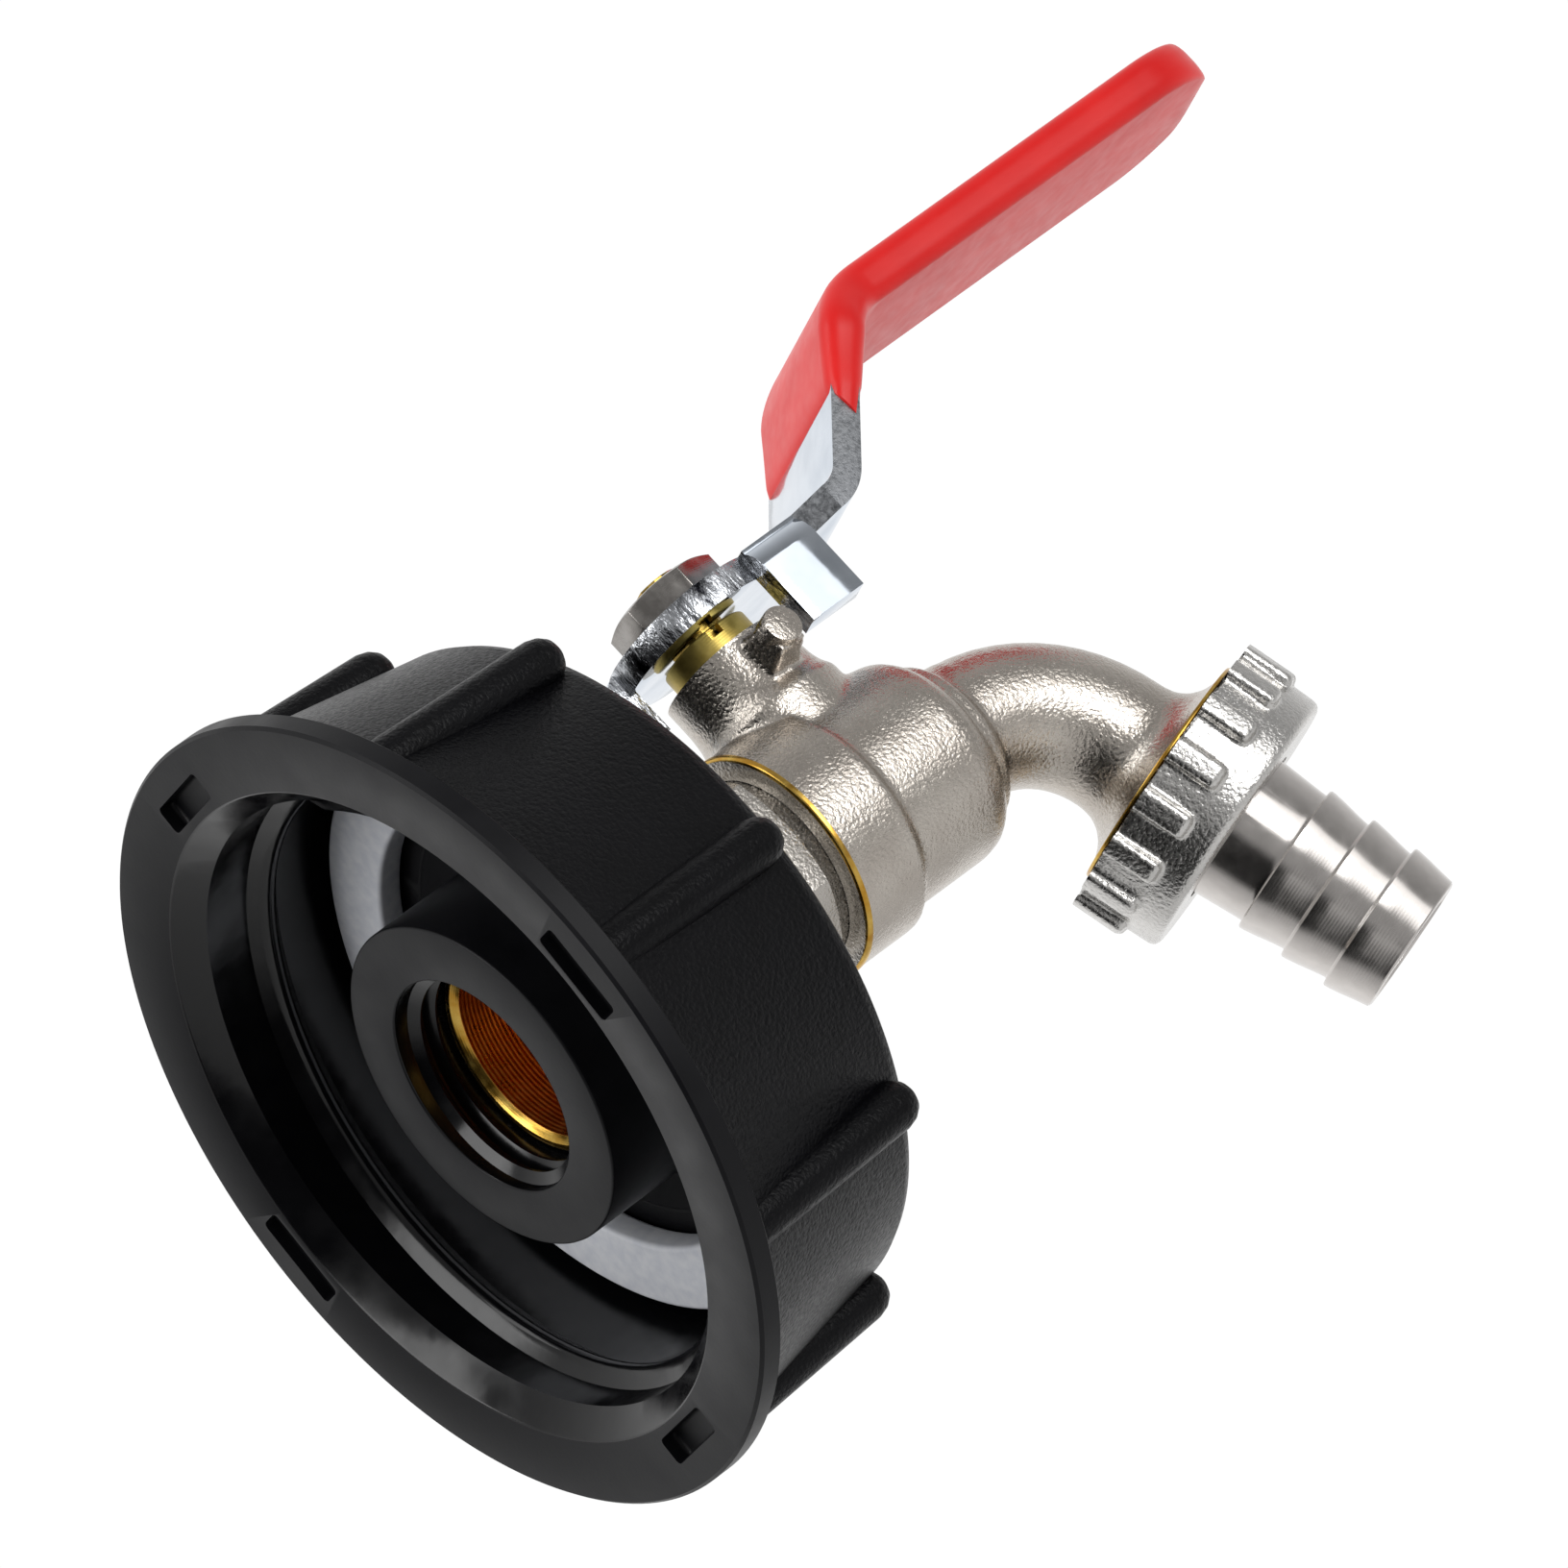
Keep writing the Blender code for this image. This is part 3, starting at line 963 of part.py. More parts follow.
def union_nut(axis):
    """Union nut with cast grip bumps, a threaded bore and a lip that holds the tail's collar."""
    around = gripped_ring(
        UNION_GRIP_COUNT,
        0.0,
        UNION_ACROSS_SHARES,
        UNION_GRIP_WIDTH,
        UNION_BACK_RADIUS,
        UNION_BETWEEN_STEPS,
    )
    slope = (UNION_BACK_RADIUS - UNION_FRONT_RADIUS) / UNION_LENGTH
    grip_end = UNION_BACK_RADIUS - slope * UNION_GRIP_LENGTH
    grip_full = UNION_GRIP_LENGTH - UNION_GRIP_HEIGHT
    grip_full_radius = UNION_BACK_RADIUS - slope * grip_full
    hole_radius = TAIL_NECK_RADIUS + RUN_GAP
    rings = [
        ribbed(around, UNION_BACK_RADIUS - UNION_EDGE_BREAK, 0.0, 0.0),
        ribbed(around, UNION_BACK_RADIUS, UNION_EDGE_BREAK, UNION_GRIP_HEIGHT),
        ribbed(around, grip_full_radius, grip_full, UNION_GRIP_HEIGHT),
        ribbed(around, grip_end, UNION_GRIP_LENGTH, 0.0),
        ribbed(around, UNION_FRONT_RADIUS, UNION_LENGTH - UNION_EDGE_BREAK, 0.0),
        ribbed(around, UNION_FRONT_RADIUS - UNION_EDGE_BREAK, UNION_LENGTH, 0.0),
        ribbed(around, hole_radius, UNION_LENGTH, 0.0),
        ribbed(around, hole_radius, UNION_LIP_START, 0.0),
        ribbed(around, UNION_BORE_RADIUS, UNION_LIP_START, 0.0),
        ribbed(around, UNION_BORE_RADIUS, 0.0, 0.0),
    ]
    made = solid("union_nut", loft(rings, closed=True), axis)
    dress(made, NICKEL, 0.45, 1.0)


def hose_tail(axis):
    """Turned tail: collar under the union nut's lip, neck, and barbs whose shoulders face the nut."""
    profile = [
        (TAIL_START, TAIL_BORE_RADIUS),
        (TAIL_START, TAIL_COLLAR_RADIUS),
        (TAIL_COLLAR_END, TAIL_COLLAR_RADIUS),
        (TAIL_COLLAR_END, TAIL_NECK_RADIUS),
        (TAIL_NECK_END, TAIL_NECK_END_RADIUS),
    ]
    for i in range(BARB_COUNT):
        start = TAIL_NECK_END + i * BARB_PITCH
        profile.append((start, BARB_RADIUS))
        if i < BARB_COUNT - 1:
            profile.append((start + BARB_PITCH, BARB_ROOT_RADIUS))
    profile.append((BARB_END - TAIL_EDGE_BREAK, BARB_ROOT_RADIUS))
    profile.append((BARB_END, BARB_ROOT_RADIUS - TAIL_EDGE_BREAK))
    profile.append((BARB_END, TAIL_BORE_RADIUS))
    made = solid("hose_tail", turned(profile, MAIN_STEPS), axis)
    dress(made, CHROME, 0.15, 1.0)


def main():
    clear_scene()
    flow_axis = axis_empty("flow_axis", (0.0, 0.0, 0.0), (90.0, 0.0, 90.0))
    stem_axis = axis_empty("stem_axis", (STEM_X, 0.0, 0.0), (0.0, 0.0, 0.0))
    outlet_axis = axis_empty("outlet_axis", OUTLET_ORIGIN, (0.0, 180.0 - SPOUT_LEAN, 0.0))
    coupling_nut(flow_axis)
    spigot(flow_axis)
    tank_gasket(flow_axis)
    rubber = (BLACK_RUBBER, 0.6, 0.0)
    inner = SPIGOT_BORE_RADIUS
    inlet_span = (INLET_WASHER_FRONT_X, INLET_WASHER_BACK_X)
    ring_piece("inlet_washer", flow_axis, inner, INLET_WASHER_RADIUS, *inlet_span, rubber)
    inlet_connector(flow_axis)
    seat_ring("seat_inlet", flow_axis, -1)
    seat_ring("seat_outlet", flow_axis, 1)
    valve_body(flow_axis, stem_axis)
    ball(stem_axis)
    stem(stem_axis)
    ptfe = (WHITE_PTFE, 0.5, 0.0)
    washer_inner = STEM_BORE_RADIUS
    washer_span = (THRUST_WASHER_BOTTOM_Z, THRUST_WASHER_TOP_Z)
    ring_piece("stem_thrust_washer", stem_axis, washer_inner, STEM_FLANGE_RADIUS, *washer_span, ptfe)
    stem_o_ring(stem_axis)
    packing_span = (PACKING_BOTTOM_Z, PACKING_TOP_Z)
    ring_piece("stem_packing", stem_axis, washer_inner, GLAND_RADIUS, *packing_span, ptfe)
    gland_nut(stem_axis)
    lever(stem_axis)
    lever_sleeve(stem_axis)
    lever_nut(stem_axis)
    union_nut(outlet_axis)
    gasket_outer = UNION_BORE_RADIUS - SEAT_GAP
    gasket_span = (HOSE_GASKET_START, HOSE_GASKET_END)
    ring_piece("hose_gasket", outlet_axis, HOSE_GASKET_INNER_RADIUS, gasket_outer, *gasket_span, rubber)
    hose_tail(outlet_axis)


main()
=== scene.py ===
# %% [markdown]
# # Tank outlet valve
# This lesson dresses a small valve that screws onto the outlet of a liquid container. The
# solid model comes in ready made, so every piece knows its place. Here each piece that shows
# is modelled again with rounder edges, threads and cast corners, and gets its real finish.

# %% Load the frame
import json
import math

import bpy
from mathutils import Matrix, Vector

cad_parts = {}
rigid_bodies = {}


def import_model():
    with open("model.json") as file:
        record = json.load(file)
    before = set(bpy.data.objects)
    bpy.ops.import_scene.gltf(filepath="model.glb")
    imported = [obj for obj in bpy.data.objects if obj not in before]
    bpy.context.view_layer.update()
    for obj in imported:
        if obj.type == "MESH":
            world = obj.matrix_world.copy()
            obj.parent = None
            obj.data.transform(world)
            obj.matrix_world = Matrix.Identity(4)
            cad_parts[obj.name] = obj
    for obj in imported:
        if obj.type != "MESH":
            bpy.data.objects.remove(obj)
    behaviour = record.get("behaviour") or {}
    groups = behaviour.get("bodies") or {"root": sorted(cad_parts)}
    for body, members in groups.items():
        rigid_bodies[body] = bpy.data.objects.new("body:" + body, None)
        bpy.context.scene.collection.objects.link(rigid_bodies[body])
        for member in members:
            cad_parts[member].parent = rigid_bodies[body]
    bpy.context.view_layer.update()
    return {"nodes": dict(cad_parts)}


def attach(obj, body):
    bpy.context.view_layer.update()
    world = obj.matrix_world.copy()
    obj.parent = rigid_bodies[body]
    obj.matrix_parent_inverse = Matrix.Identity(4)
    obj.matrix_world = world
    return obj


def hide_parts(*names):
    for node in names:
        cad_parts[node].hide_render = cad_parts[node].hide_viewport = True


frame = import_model()

# %% [markdown]
# ## The camera
# The picture was taken from far away with a long lens, so parallel edges stay parallel. The
# three rows below are the camera's right, down and forward directions, worked out from the
# circles of the coupling nut and the straight edges of the lever. A Blender camera looks
# along its own -Z, so its up is the opposite of down and its back the opposite of forward.

# %% Place the camera
MM = 0.001
CAMERA_RIGHT = Vector((0.69667, -0.26630, -0.66614))
CAMERA_DOWN = Vector((-0.50988, 0.46940, -0.72089))
CAMERA_FORWARD = Vector((0.50466, 0.84187, 0.19124))
CAMERA_PLACE = Vector((-0.79335, -1.40374, -0.31317))
IMAGE_SIDE = 1632
FOCAL_PIXELS = 20000
SENSOR = 36

camera_data = bpy.data.cameras.new("camera")
camera_data.sensor_width = SENSOR
camera_data.lens = FOCAL_PIXELS / IMAGE_SIDE * SENSOR
camera_data.clip_end = 50
camera = bpy.data.objects.new("camera", camera_data)
bpy.context.scene.collection.objects.link(camera)
axes = Matrix((CAMERA_RIGHT, -CAMERA_DOWN, -CAMERA_FORWARD)).transposed()
camera.matrix_world = Matrix.Translation(CAMERA_PLACE) @ axes.to_4x4()
bpy.context.scene.camera = camera
print("camera:", round(camera_data.lens), "mm lens,", round(CAMERA_PLACE.length, 2), "m away")

# %% [markdown]
# ## Tools for turned pieces
# Most of the valve came off a lathe. A lathe piece is a circle that grows along its axis: the
# edge loop is extruded to the next height and resized to the next radius. Sizes are given in
# millimetres, as on a drawing. A profile that ends where it began makes a ring with a bore,
# and any other gets its two ends filled.

# %% Turn a piece
def turned(name, profile, steps=128):
    """Turn (height, radius) pairs in millimetres about Z."""
    bpy.ops.object.select_all(action="DESELECT")
    height, radius = profile[0]
    bpy.ops.mesh.primitive_circle_add(vertices=steps, radius=radius * MM)
    piece = bpy.context.active_object
    piece.name = name
    bpy.ops.object.mode_set(mode="EDIT")
    bpy.ops.mesh.select_all(action="SELECT")
    bpy.ops.transform.translate(value=(0, 0, height * MM))
    for (h0, r0), (h1, r1) in zip(profile, profile[1:]):
        bpy.ops.mesh.extrude_edges_move(TRANSFORM_OT_translate={"value": (0, 0, (h1 - h0) * MM)})
        if r1 != r0:
            bpy.ops.transform.resize(value=(r1 / r0, r1 / r0, 1), center_override=(0, 0, 0))
    bpy.ops.mesh.select_all(action="SELECT")
    bpy.ops.mesh.remove_doubles(threshold=MM / 1000)
    if profile[0] != profile[-1]:
        bpy.ops.mesh.fill_holes(sides=0)
    bpy.ops.mesh.select_all(action="SELECT")
    bpy.ops.mesh.normals_make_consistent(inside=False)
    bpy.ops.object.mode_set(mode="OBJECT")
    return piece


# %% Put a turned piece on its axis
STEM_X = 51.6
OUTLET = Vector((77.075, 0, -13.716))
OUTLET_TURN = 165
AXES = {
    "flow": ((0, 0, 0), (90, 0, 90)),
    "stem": ((STEM_X, 0, 0), (0, 0, 0)),
    "outlet": (OUTLET, (0, OUTLET_TURN, 0)),
}


def choose(piece):
    """Make a piece the only selected one, and active."""
    bpy.ops.object.select_all(action="DESELECT")
    piece.select_set(True)
    bpy.context.view_layer.objects.active = piece


def put_on(piece, axis):
    """Move a piece from the world's Z to one of the valve's axes, in its mesh."""
    place, turn = AXES[axis]
    piece.location = [coordinate * MM for coordinate in place]
    piece.rotation_euler = [math.radians(angle) for angle in turn]
    choose(piece)
    bpy.ops.object.transform_apply(location=True, rotation=True, scale=True)
    return piece


# %% Bevel, cut and join
def apply(piece, kind, **settings):
    """Add a modifier with its settings and apply it at once."""
    choose(piece)
    modifier = piece.modifiers.new(kind, kind)
    for name, value in settings.items():
        setattr(modifier, name, value)
    bpy.ops.object.modifier_apply(modifier=modifier.name)
    return piece


def bevel(piece, width, segments=3, angle=30):
    """Round every edge that is sharper than an angle. The width is in millimetres."""
    limit = math.radians(angle)
    return apply(piece, "BEVEL", width=width * MM, segments=segments, limit_method="ANGLE", angle_limit=limit)


def merge(piece, other, operation):
    """Join, cut or cross a piece with another, which is then gone."""
    apply(piece, "BOOLEAN", operation=operation, solver="EXACT", object=other)
    bpy.data.objects.remove(other, do_unlink=True)
    return piece


def swept(piece, stations):
    """Extrude the selected section through stations of x, z, turn, half width and half height."""
    for (x0, z0, t0, w0, h0), (x1, z1, t1, w1, h1) in zip(stations, stations[1:]):
        step = ((x1 - x0) * MM, 0, (z1 - z0) * MM)
        bpy.ops.mesh.extrude_region_move(TRANSFORM_OT_translate={"value": step})
        point = (x1 * MM, 0, z1 * MM)
        if t1 != t0:
            turn = math.radians(t0 - t1)
            bpy.ops.transform.rotate(value=turn, orient_axis="Y", orient_type="GLOBAL", center_override=point)
        if (w1, h1) != (w0, h0):
            bpy.ops.transform.resize(value=(h1 / h0, w1 / w0, h1 / h0), center_override=point)
    bpy.ops.mesh.select_all(action="SELECT")
    bpy.ops.mesh.normals_make_consistent(inside=False)
    bpy.ops.object.mode_set(mode="OBJECT")
    return piece


def bent(corner_x, corner_z, turn_in, turn_out, radius, steps):
    """Places and turns round a bend, turns in degrees about Y, downwards positive."""
    half = math.radians(turn_out - turn_in) / 2
    reach = radius * math.tan(abs(half))
    side = 1 if half > 0 else -1
    made = []
    for i in range(steps + 1):
        turn = math.radians(turn_in) + 2 * half * i / steps
        start = math.radians(turn_in)
        x = corner_x - reach * math.cos(start) + side * radius * (math.sin(turn) - math.sin(start))
        z = corner_z + reach * math.sin(start) - side * radius * (math.cos(start) - math.cos(turn))
        made.append((x, z, math.degrees(turn)))
    return made


# %% Hand a finished piece to the frame
def finished(piece, body, node=None, angle=35):
    """Shade a piece, let it ride on its body and stand for its CAD node."""
    choose(piece)
    bpy.ops.object.shade_smooth_by_angle(angle=math.radians(angle))
    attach(piece, body)
    if node:
        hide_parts(node)
    print(piece.name, len(piece.data.polygons), "faces, rides on", body)
    return piece


# %% [markdown]
# ## Tools for finishes
# Each finish is a small tree of nodes round one Principled shader. Patterns read Object
# coordinates, which are metres here, so a noise of scale 1000 has features about a millimetre
# wide. `per_mm` turns a real size into such a scale.

# %% Start a finish
def linear(code):
    """Turn an sRGB hex colour into linear red, green, blue and alpha."""
    parts = [int(code[i : i + 2], 16) / 255 for i in (1, 3, 5)]
    return [c / 12.92 if c <= 0.04045 else ((c + 0.055) / 1.055) ** 2.4 for c in parts] + [1]


def per_mm(size):
    """Noise scale whose features are about this many millimetres wide."""
    return 1 / (size * MM)


def add(tree, kind, inputs=None, **settings):
    """Add a node, set its properties, and fill or link its inputs."""
    made = tree.nodes.new(kind)
    for name, value in settings.items():
        setattr(made, name, value)
    for socket, value in (inputs or {}).items():
        if isinstance(value, bpy.types.NodeSocket):
            tree.links.new(value, made.inputs[socket])
        else:
            made.inputs[socket].default_value = value
    return made


def finish(name, colour, **sockets):
    """A new material: its tree, its shader and its Object coordinates."""
    made = bpy.data.materials.new(name)
    made.use_nodes = True
    tree = made.node_tree
    shader = tree.nodes["Principled BSDF"]
    shader.inputs["Base Color"].default_value = linear(colour)
    for socket, value in sockets.items():
        shader.inputs[socket.replace("_", " ")].default_value = value
    place = add(tree, "ShaderNodeTexCoord").outputs["Object"]
    return made, tree, shader, place


def between(tree, factor, low, high):
    """Stretch a pattern that runs from 0 to 1 so that it runs between two values."""
    spread = {"Value": factor, "From Min": 0.3, "From Max": 0.7, "To Min": low, "To Max": high}
    return add(tree, "ShaderNodeMapRange", spread).outputs["Result"]


def tint(tree, shader, factor, dark, light):
    """Let a pattern mix the base colour between two hex colours."""
    stops = add(tree, "ShaderNodeValToRGB", {"Fac": factor})
    stops.color_ramp.elements[0].position = 0.35
    stops.color_ramp.elements[0].color = linear(dark)
    stops.color_ramp.elements[1].position = 0.65
    stops.color_ramp.elements[1].color = linear(light)
    tree.links.new(stops.outputs["Color"], shader.inputs["Base Color"])


def relief(tree, shader, height, depth):
    """Turn a pattern into bumps this many millimetres deep."""
    bump = add(tree, "ShaderNodeBump", {"Height": height, "Distance": depth * MM, "Strength": 1.0})
    tree.links.new(bump.outputs["Normal"], shader.inputs["Normal"])


# %% [markdown]
# ## Black moulded plastic
# The coupling nut and the spigot are injection moulded from black nylon. The outside of the
# nut has the fine matt grain of an eroded mould, which catches light as tiny specks. Its rim
# and the spigot's face are smoother, and the thread inside is glossy. The grain of about
# 0.1 mm is drawn at 0.4 mm, so that it shows.

# %% Make the plastics
grained_nylon, tree, shader, place = finish("grained_black_nylon", "#060608", Roughness=0.42, Specular_IOR_Level=0.12)
grain = add(tree, "ShaderNodeTexNoise", {"Vector": place, "Scale": per_mm(0.4), "Detail": 3.0})
relief(tree, shader, grain.outputs["Fac"], 0.14)
cloud = add(tree, "ShaderNodeTexNoise", {"Vector": place, "Scale": per_mm(6), "Detail": 2.0})
tint(tree, shader, cloud.outputs["Fac"], "#050507", "#08080b")
tree.links.new(between(tree, grain.outputs["Fac"], 0.28, 0.44), shader.inputs["Roughness"])

satin_nylon, tree, shader, place = finish("satin_black_nylon", "#18181b", Roughness=0.38, Specular_IOR_Level=0.18)
grain = add(tree, "ShaderNodeTexNoise", {"Vector": place, "Scale": per_mm(0.4), "Detail": 2.0})
relief(tree, shader, grain.outputs["Fac"], 0.006)
cloud = add(tree, "ShaderNodeTexNoise", {"Vector": place, "Scale": per_mm(5), "Detail": 3.0})
tint(tree, shader, cloud.outputs["Fac"], "#0b0b0e", "#0f0f12")
tree.links.new(between(tree, cloud.outputs["Fac"], 0.36, 0.46), shader.inputs["Roughness"])

glossy_nylon, tree, shader, place = finish("glossy_black_nylon", "#08080a", Roughness=0.16, Specular_IOR_Level=0.4)
flow_lines = add(tree, "ShaderNodeTexNoise", {"Vector": place, "Scale": per_mm(3), "Detail": 2.0})
relief(tree, shader, flow_lines.outputs["Fac"], 0.02)
tree.links.new(between(tree, flow_lines.outputs["Fac"], 0.12, 0.24), shader.inputs["Roughness"])
print("plastics: grained, satin and glossy")

# %% [markdown]
# ## Rubber and PTFE
# The tank gasket is white silicone rubber, slightly blue and dusty. The small seals are black
# nitrile rubber, and the ball's seats and packing are white PTFE, which looks like wax.

# %% Make the seals' finishes
white_silicone, tree, shader, place = finish("white_silicone_rubber", "#b9bcc9", Roughness=0.5)
dust = add(tree, "ShaderNodeTexNoise", {"Vector": place, "Scale": per_mm(1.2), "Detail": 5.0})
tint(tree, shader, dust.outputs["Fac"], "#dfe2ea", "#eceef3")
relief(tree, shader, dust.outputs["Fac"], 0.01)
tree.links.new(between(tree, dust.outputs["Fac"], 0.42, 0.58), shader.inputs["Roughness"])

black_nitrile, tree, shader, place = finish("black_nitrile_rubber", "#18181a", Roughness=0.55)
bloom = add(tree, "ShaderNodeTexNoise", {"Vector": place, "Scale": per_mm(0.5), "Detail": 3.0})
tint(tree, shader, bloom.outputs["Fac"], "#161618", "#222224")
relief(tree, shader, bloom.outputs["Fac"], 0.008)

white_ptfe, tree, shader, place = finish("white_ptfe", "#e6e5e0", Roughness=0.42)
skived = add(tree, "ShaderNodeTexNoise", {"Vector": place, "Scale": per_mm(0.8), "Detail": 2.0})
tint(tree, shader, skived.outputs["Fac"], "#dedcd6", "#ecebe7")
relief(tree, shader, skived.outputs["Fac"], 0.004)
print("seals: silicone, nitrile and PTFE")

# %% [markdown]
# ## Nickel on blasted brass
# The body, connector and union nut are brass, blasted with glass beads and nickel plated. The
# blasting leaves dimples about 0.2 mm wide, each a tiny mirror, so the surface sparkles with
# light and dark points. They are drawn at a third of a millimetre, so that they show. The
# plating is a warm grey.

# %% Make the blasted nickel
def blasted(name, light, dark, dimple, depth):
    """Nickel plating over dimples of a width and depth in millimetres."""
    made, tree, shader, place = finish(name, light, Metallic=1.0, Roughness=0.3)
    fine = add(tree, "ShaderNodeTexNoise", {"Vector": place, "Scale": per_mm(dimple), "Detail": 2.0})
    worn = add(tree, "ShaderNodeTexNoise", {"Vector": place, "Scale": per_mm(4), "Detail": 2.0})
    tint(tree, shader, worn.outputs["Fac"], dark, light)
    relief(tree, shader, fine.outputs["Fac"], depth)
    tree.links.new(between(tree, fine.outputs["Fac"], 0.2, 0.32), shader.inputs["Roughness"])
    return made


cast_nickel = blasted("blasted_nickel_casting", "#c9c2b9", "#bfb7ae", 0.34, 0.09)
union_nickel = blasted("blasted_nickel_union", "#d6d4d1", "#cdcbc8", 0.36, 0.09)
hex_nickel = blasted("blasted_nickel_hexagon", "#c6c1ba", "#bcb7b0", 0.3, 0.07)
print("nickel:", cast_nickel.name, union_nickel.name, hex_nickel.name)

# %% [markdown]
# ## Machined brass and steel
# Where a tool cut through after plating, raw brass shows: the bore, the ring at the body's
# front and the gland. Turning leaves fine rings round the axis, a tenth of a millimetre apart
# or less, drawn here at 0.15 to 0.45 mm, so that they show. The lever's nut is nickel plated
# steel, and the hose tail is turned, polished and plated.

# %% Make the turned metals
WAVE_SCALE = math.tau / 20  # a Wave texture of this scale has one ring in each metre


def ringed(name, colour, axis_turn, pitch, depth, low, high, dark):
    """A turned metal with tool rings square to the local Z axis of one of the axes."""
    made, tree, shader, place = finish(name, colour, Metallic=1.0, Roughness=low)
    turn = [math.radians(angle) for angle in axis_turn]
    along = add(tree, "ShaderNodeMapping", {"Vector": place, "Rotation": turn}).outputs["Vector"]
    size = per_mm(pitch) * WAVE_SCALE
    rings = add(tree, "ShaderNodeTexWave", {"Vector": along, "Scale": size, "Distortion": 0.4}, bands_direction="Z")
    smear = add(tree, "ShaderNodeTexNoise", {"Vector": place, "Scale": per_mm(1.5), "Detail": 3.0})
    relief(tree, shader, rings.outputs["Fac"], depth)
    tint(tree, shader, smear.outputs["Fac"], dark, colour)
    tree.links.new(between(tree, smear.outputs["Fac"], low, high), shader.inputs["Roughness"])
    return made


raw_brass = ringed("machined_raw_brass", "#d8b45c", (0, -90, 0), 0.15, 0.002, 0.16, 0.3, "#b98a35")
bore_brass = ringed("bored_raw_brass", "#e0a050", (0, -90, 0), 0.45, 0.03, 0.25, 0.34, "#cf8c3c")
gland_brass = ringed("turned_gland_brass", "#cfb868", (0, 0, 0), 0.25, 0.006, 0.36, 0.46, "#b39c50")
stem_brass = ringed("turned_stem_brass", "#cfae57", (0, 0, 0), 0.2, 0.003, 0.2, 0.3, "#a98a3c")
plated_steel = ringed("nickel_plated_steel", "#a19d99", (0, 0, 0), 0.2, 0.003, 0.2, 0.34, "#85817d")
tail_nickel = ringed("turned_nickel_tail", "#d2cdc9", (0, -165, 0), 0.3, 0.0008, 0.16, 0.22, "#cbc6c2")
ball_chrome = ringed("lapped_ball_chrome", "#d4d7dc", (0, -90, 0), 0.2, 0.0005, 0.05, 0.12, "#c6c9ce")
print("metals:", raw_brass.name, bore_brass.name, gland_brass.name, plated_steel.name, tail_nickel.name)

# %% [markdown]
# ## Stamped chrome
# The lever is stamped from sheet, so its faces are smooth and bright while its cut edges are
# torn: the press leaves a rough grey break with streaks along the thickness. Two finishes
# cover that, and each face of the lever takes one by the way it points.

# %% Make the chromes
bright_chrome, tree, shader, place = finish("bright_chrome_sheet", "#d0d8e2", Metallic=1.0, Roughness=0.08)
ripple = add(tree, "ShaderNodeTexNoise", {"Vector": place, "Scale": per_mm(4), "Detail": 2.0})
relief(tree, shader, ripple.outputs["Fac"], 0.02)
tint(tree, shader, ripple.outputs["Fac"], "#c8d0da", "#d6dde6")
tree.links.new(between(tree, ripple.outputs["Fac"], 0.05, 0.12), shader.inputs["Roughness"])

torn_chrome, tree, shader, place = finish("torn_chrome_edge", "#c3c6cb", Metallic=1.0, Roughness=0.2)
streaky = add(tree, "ShaderNodeMapping", {"Vector": place, "Scale": (1, 1, 0.35)}).outputs["Vector"]
tear = {"Vector": streaky, "Scale": per_mm(2.2), "Detail": 5.0, "Roughness": 0.62}
tears = add(tree, "ShaderNodeTexNoise", tear)
relief(tree, shader, tears.outputs["Fac"], 0.5)
tint(tree, shader, tears.outputs["Fac"], "#1d1e22", "#e6e9ee")
tree.links.new(between(tree, tears.outputs["Fac"], 0.1, 0.3), shader.inputs["Roughness"])

sheared_steel, tree, shader, place = finish("sheared_strap_edge", "#8d8f92", Metallic=1.0, Roughness=0.5)
grit = {"Vector": place, "Scale": per_mm(0.5), "Detail": 4.0, "Roughness": 0.6}
breaks = add(tree, "ShaderNodeTexNoise", grit)
relief(tree, shader, breaks.outputs["Fac"], 0.06)
tint(tree, shader, breaks.outputs["Fac"], "#6f7174", "#96989b")
tree.links.new(between(tree, breaks.outputs["Fac"], 0.35, 0.6), shader.inputs["Roughness"])
print("chromes: bright, torn and sheared")

# %% [markdown]
# ## Dipped red vinyl
# The lever's sleeve is soft PVC, dipped and cured, so its skin is glossy with a very faint
# orange peel about a millimetre and a half wide, and its colour is deep and even.

# %% Make the vinyl
red_vinyl, tree, shader, place = finish("dipped_red_vinyl", "#d9231f", Roughness=0.36, Specular_IOR_Level=0.45)
peel = add(tree, "ShaderNodeTexNoise", {"Vector": place, "Scale": per_mm(1.5), "Detail": 2.0})
relief(tree, shader, peel.outputs["Fac"], 0.0015)
tone = add(tree, "ShaderNodeTexNoise", {"Vector": place, "Scale": per_mm(9), "Detail": 2.0})
tint(tree, shader, tone.outputs["Fac"], "#dc1210", "#e61a17")
tree.links.new(between(tree, peel.outputs["Fac"], 0.32, 0.4), shader.inputs["Roughness"])
print("vinyl:", red_vinyl.name)


# %% Paint faces by place
def paint(piece, materials, chooser):
    """Give a piece its materials and let a function of each face pick one of them."""
    for material in materials:
        piece.data.materials.append(material)
    for face in piece.data.polygons:
        face.material_index = chooser(face.center / MM, face.normal)


# %% [markdown]
# ## Coupling nut
# The nut grips the tank's outlet thread and pulls the spigot onto it. It is a lathe piece with
# a stepped rim, a wall that narrows backwards and a lip behind. Eight finger ribs stand on the
# wall: each is a long bead with a round end, joined on with a Boolean, which leaves the sharp
# crease that the moulding has. Four shallow slots in the rim are cut the same way.

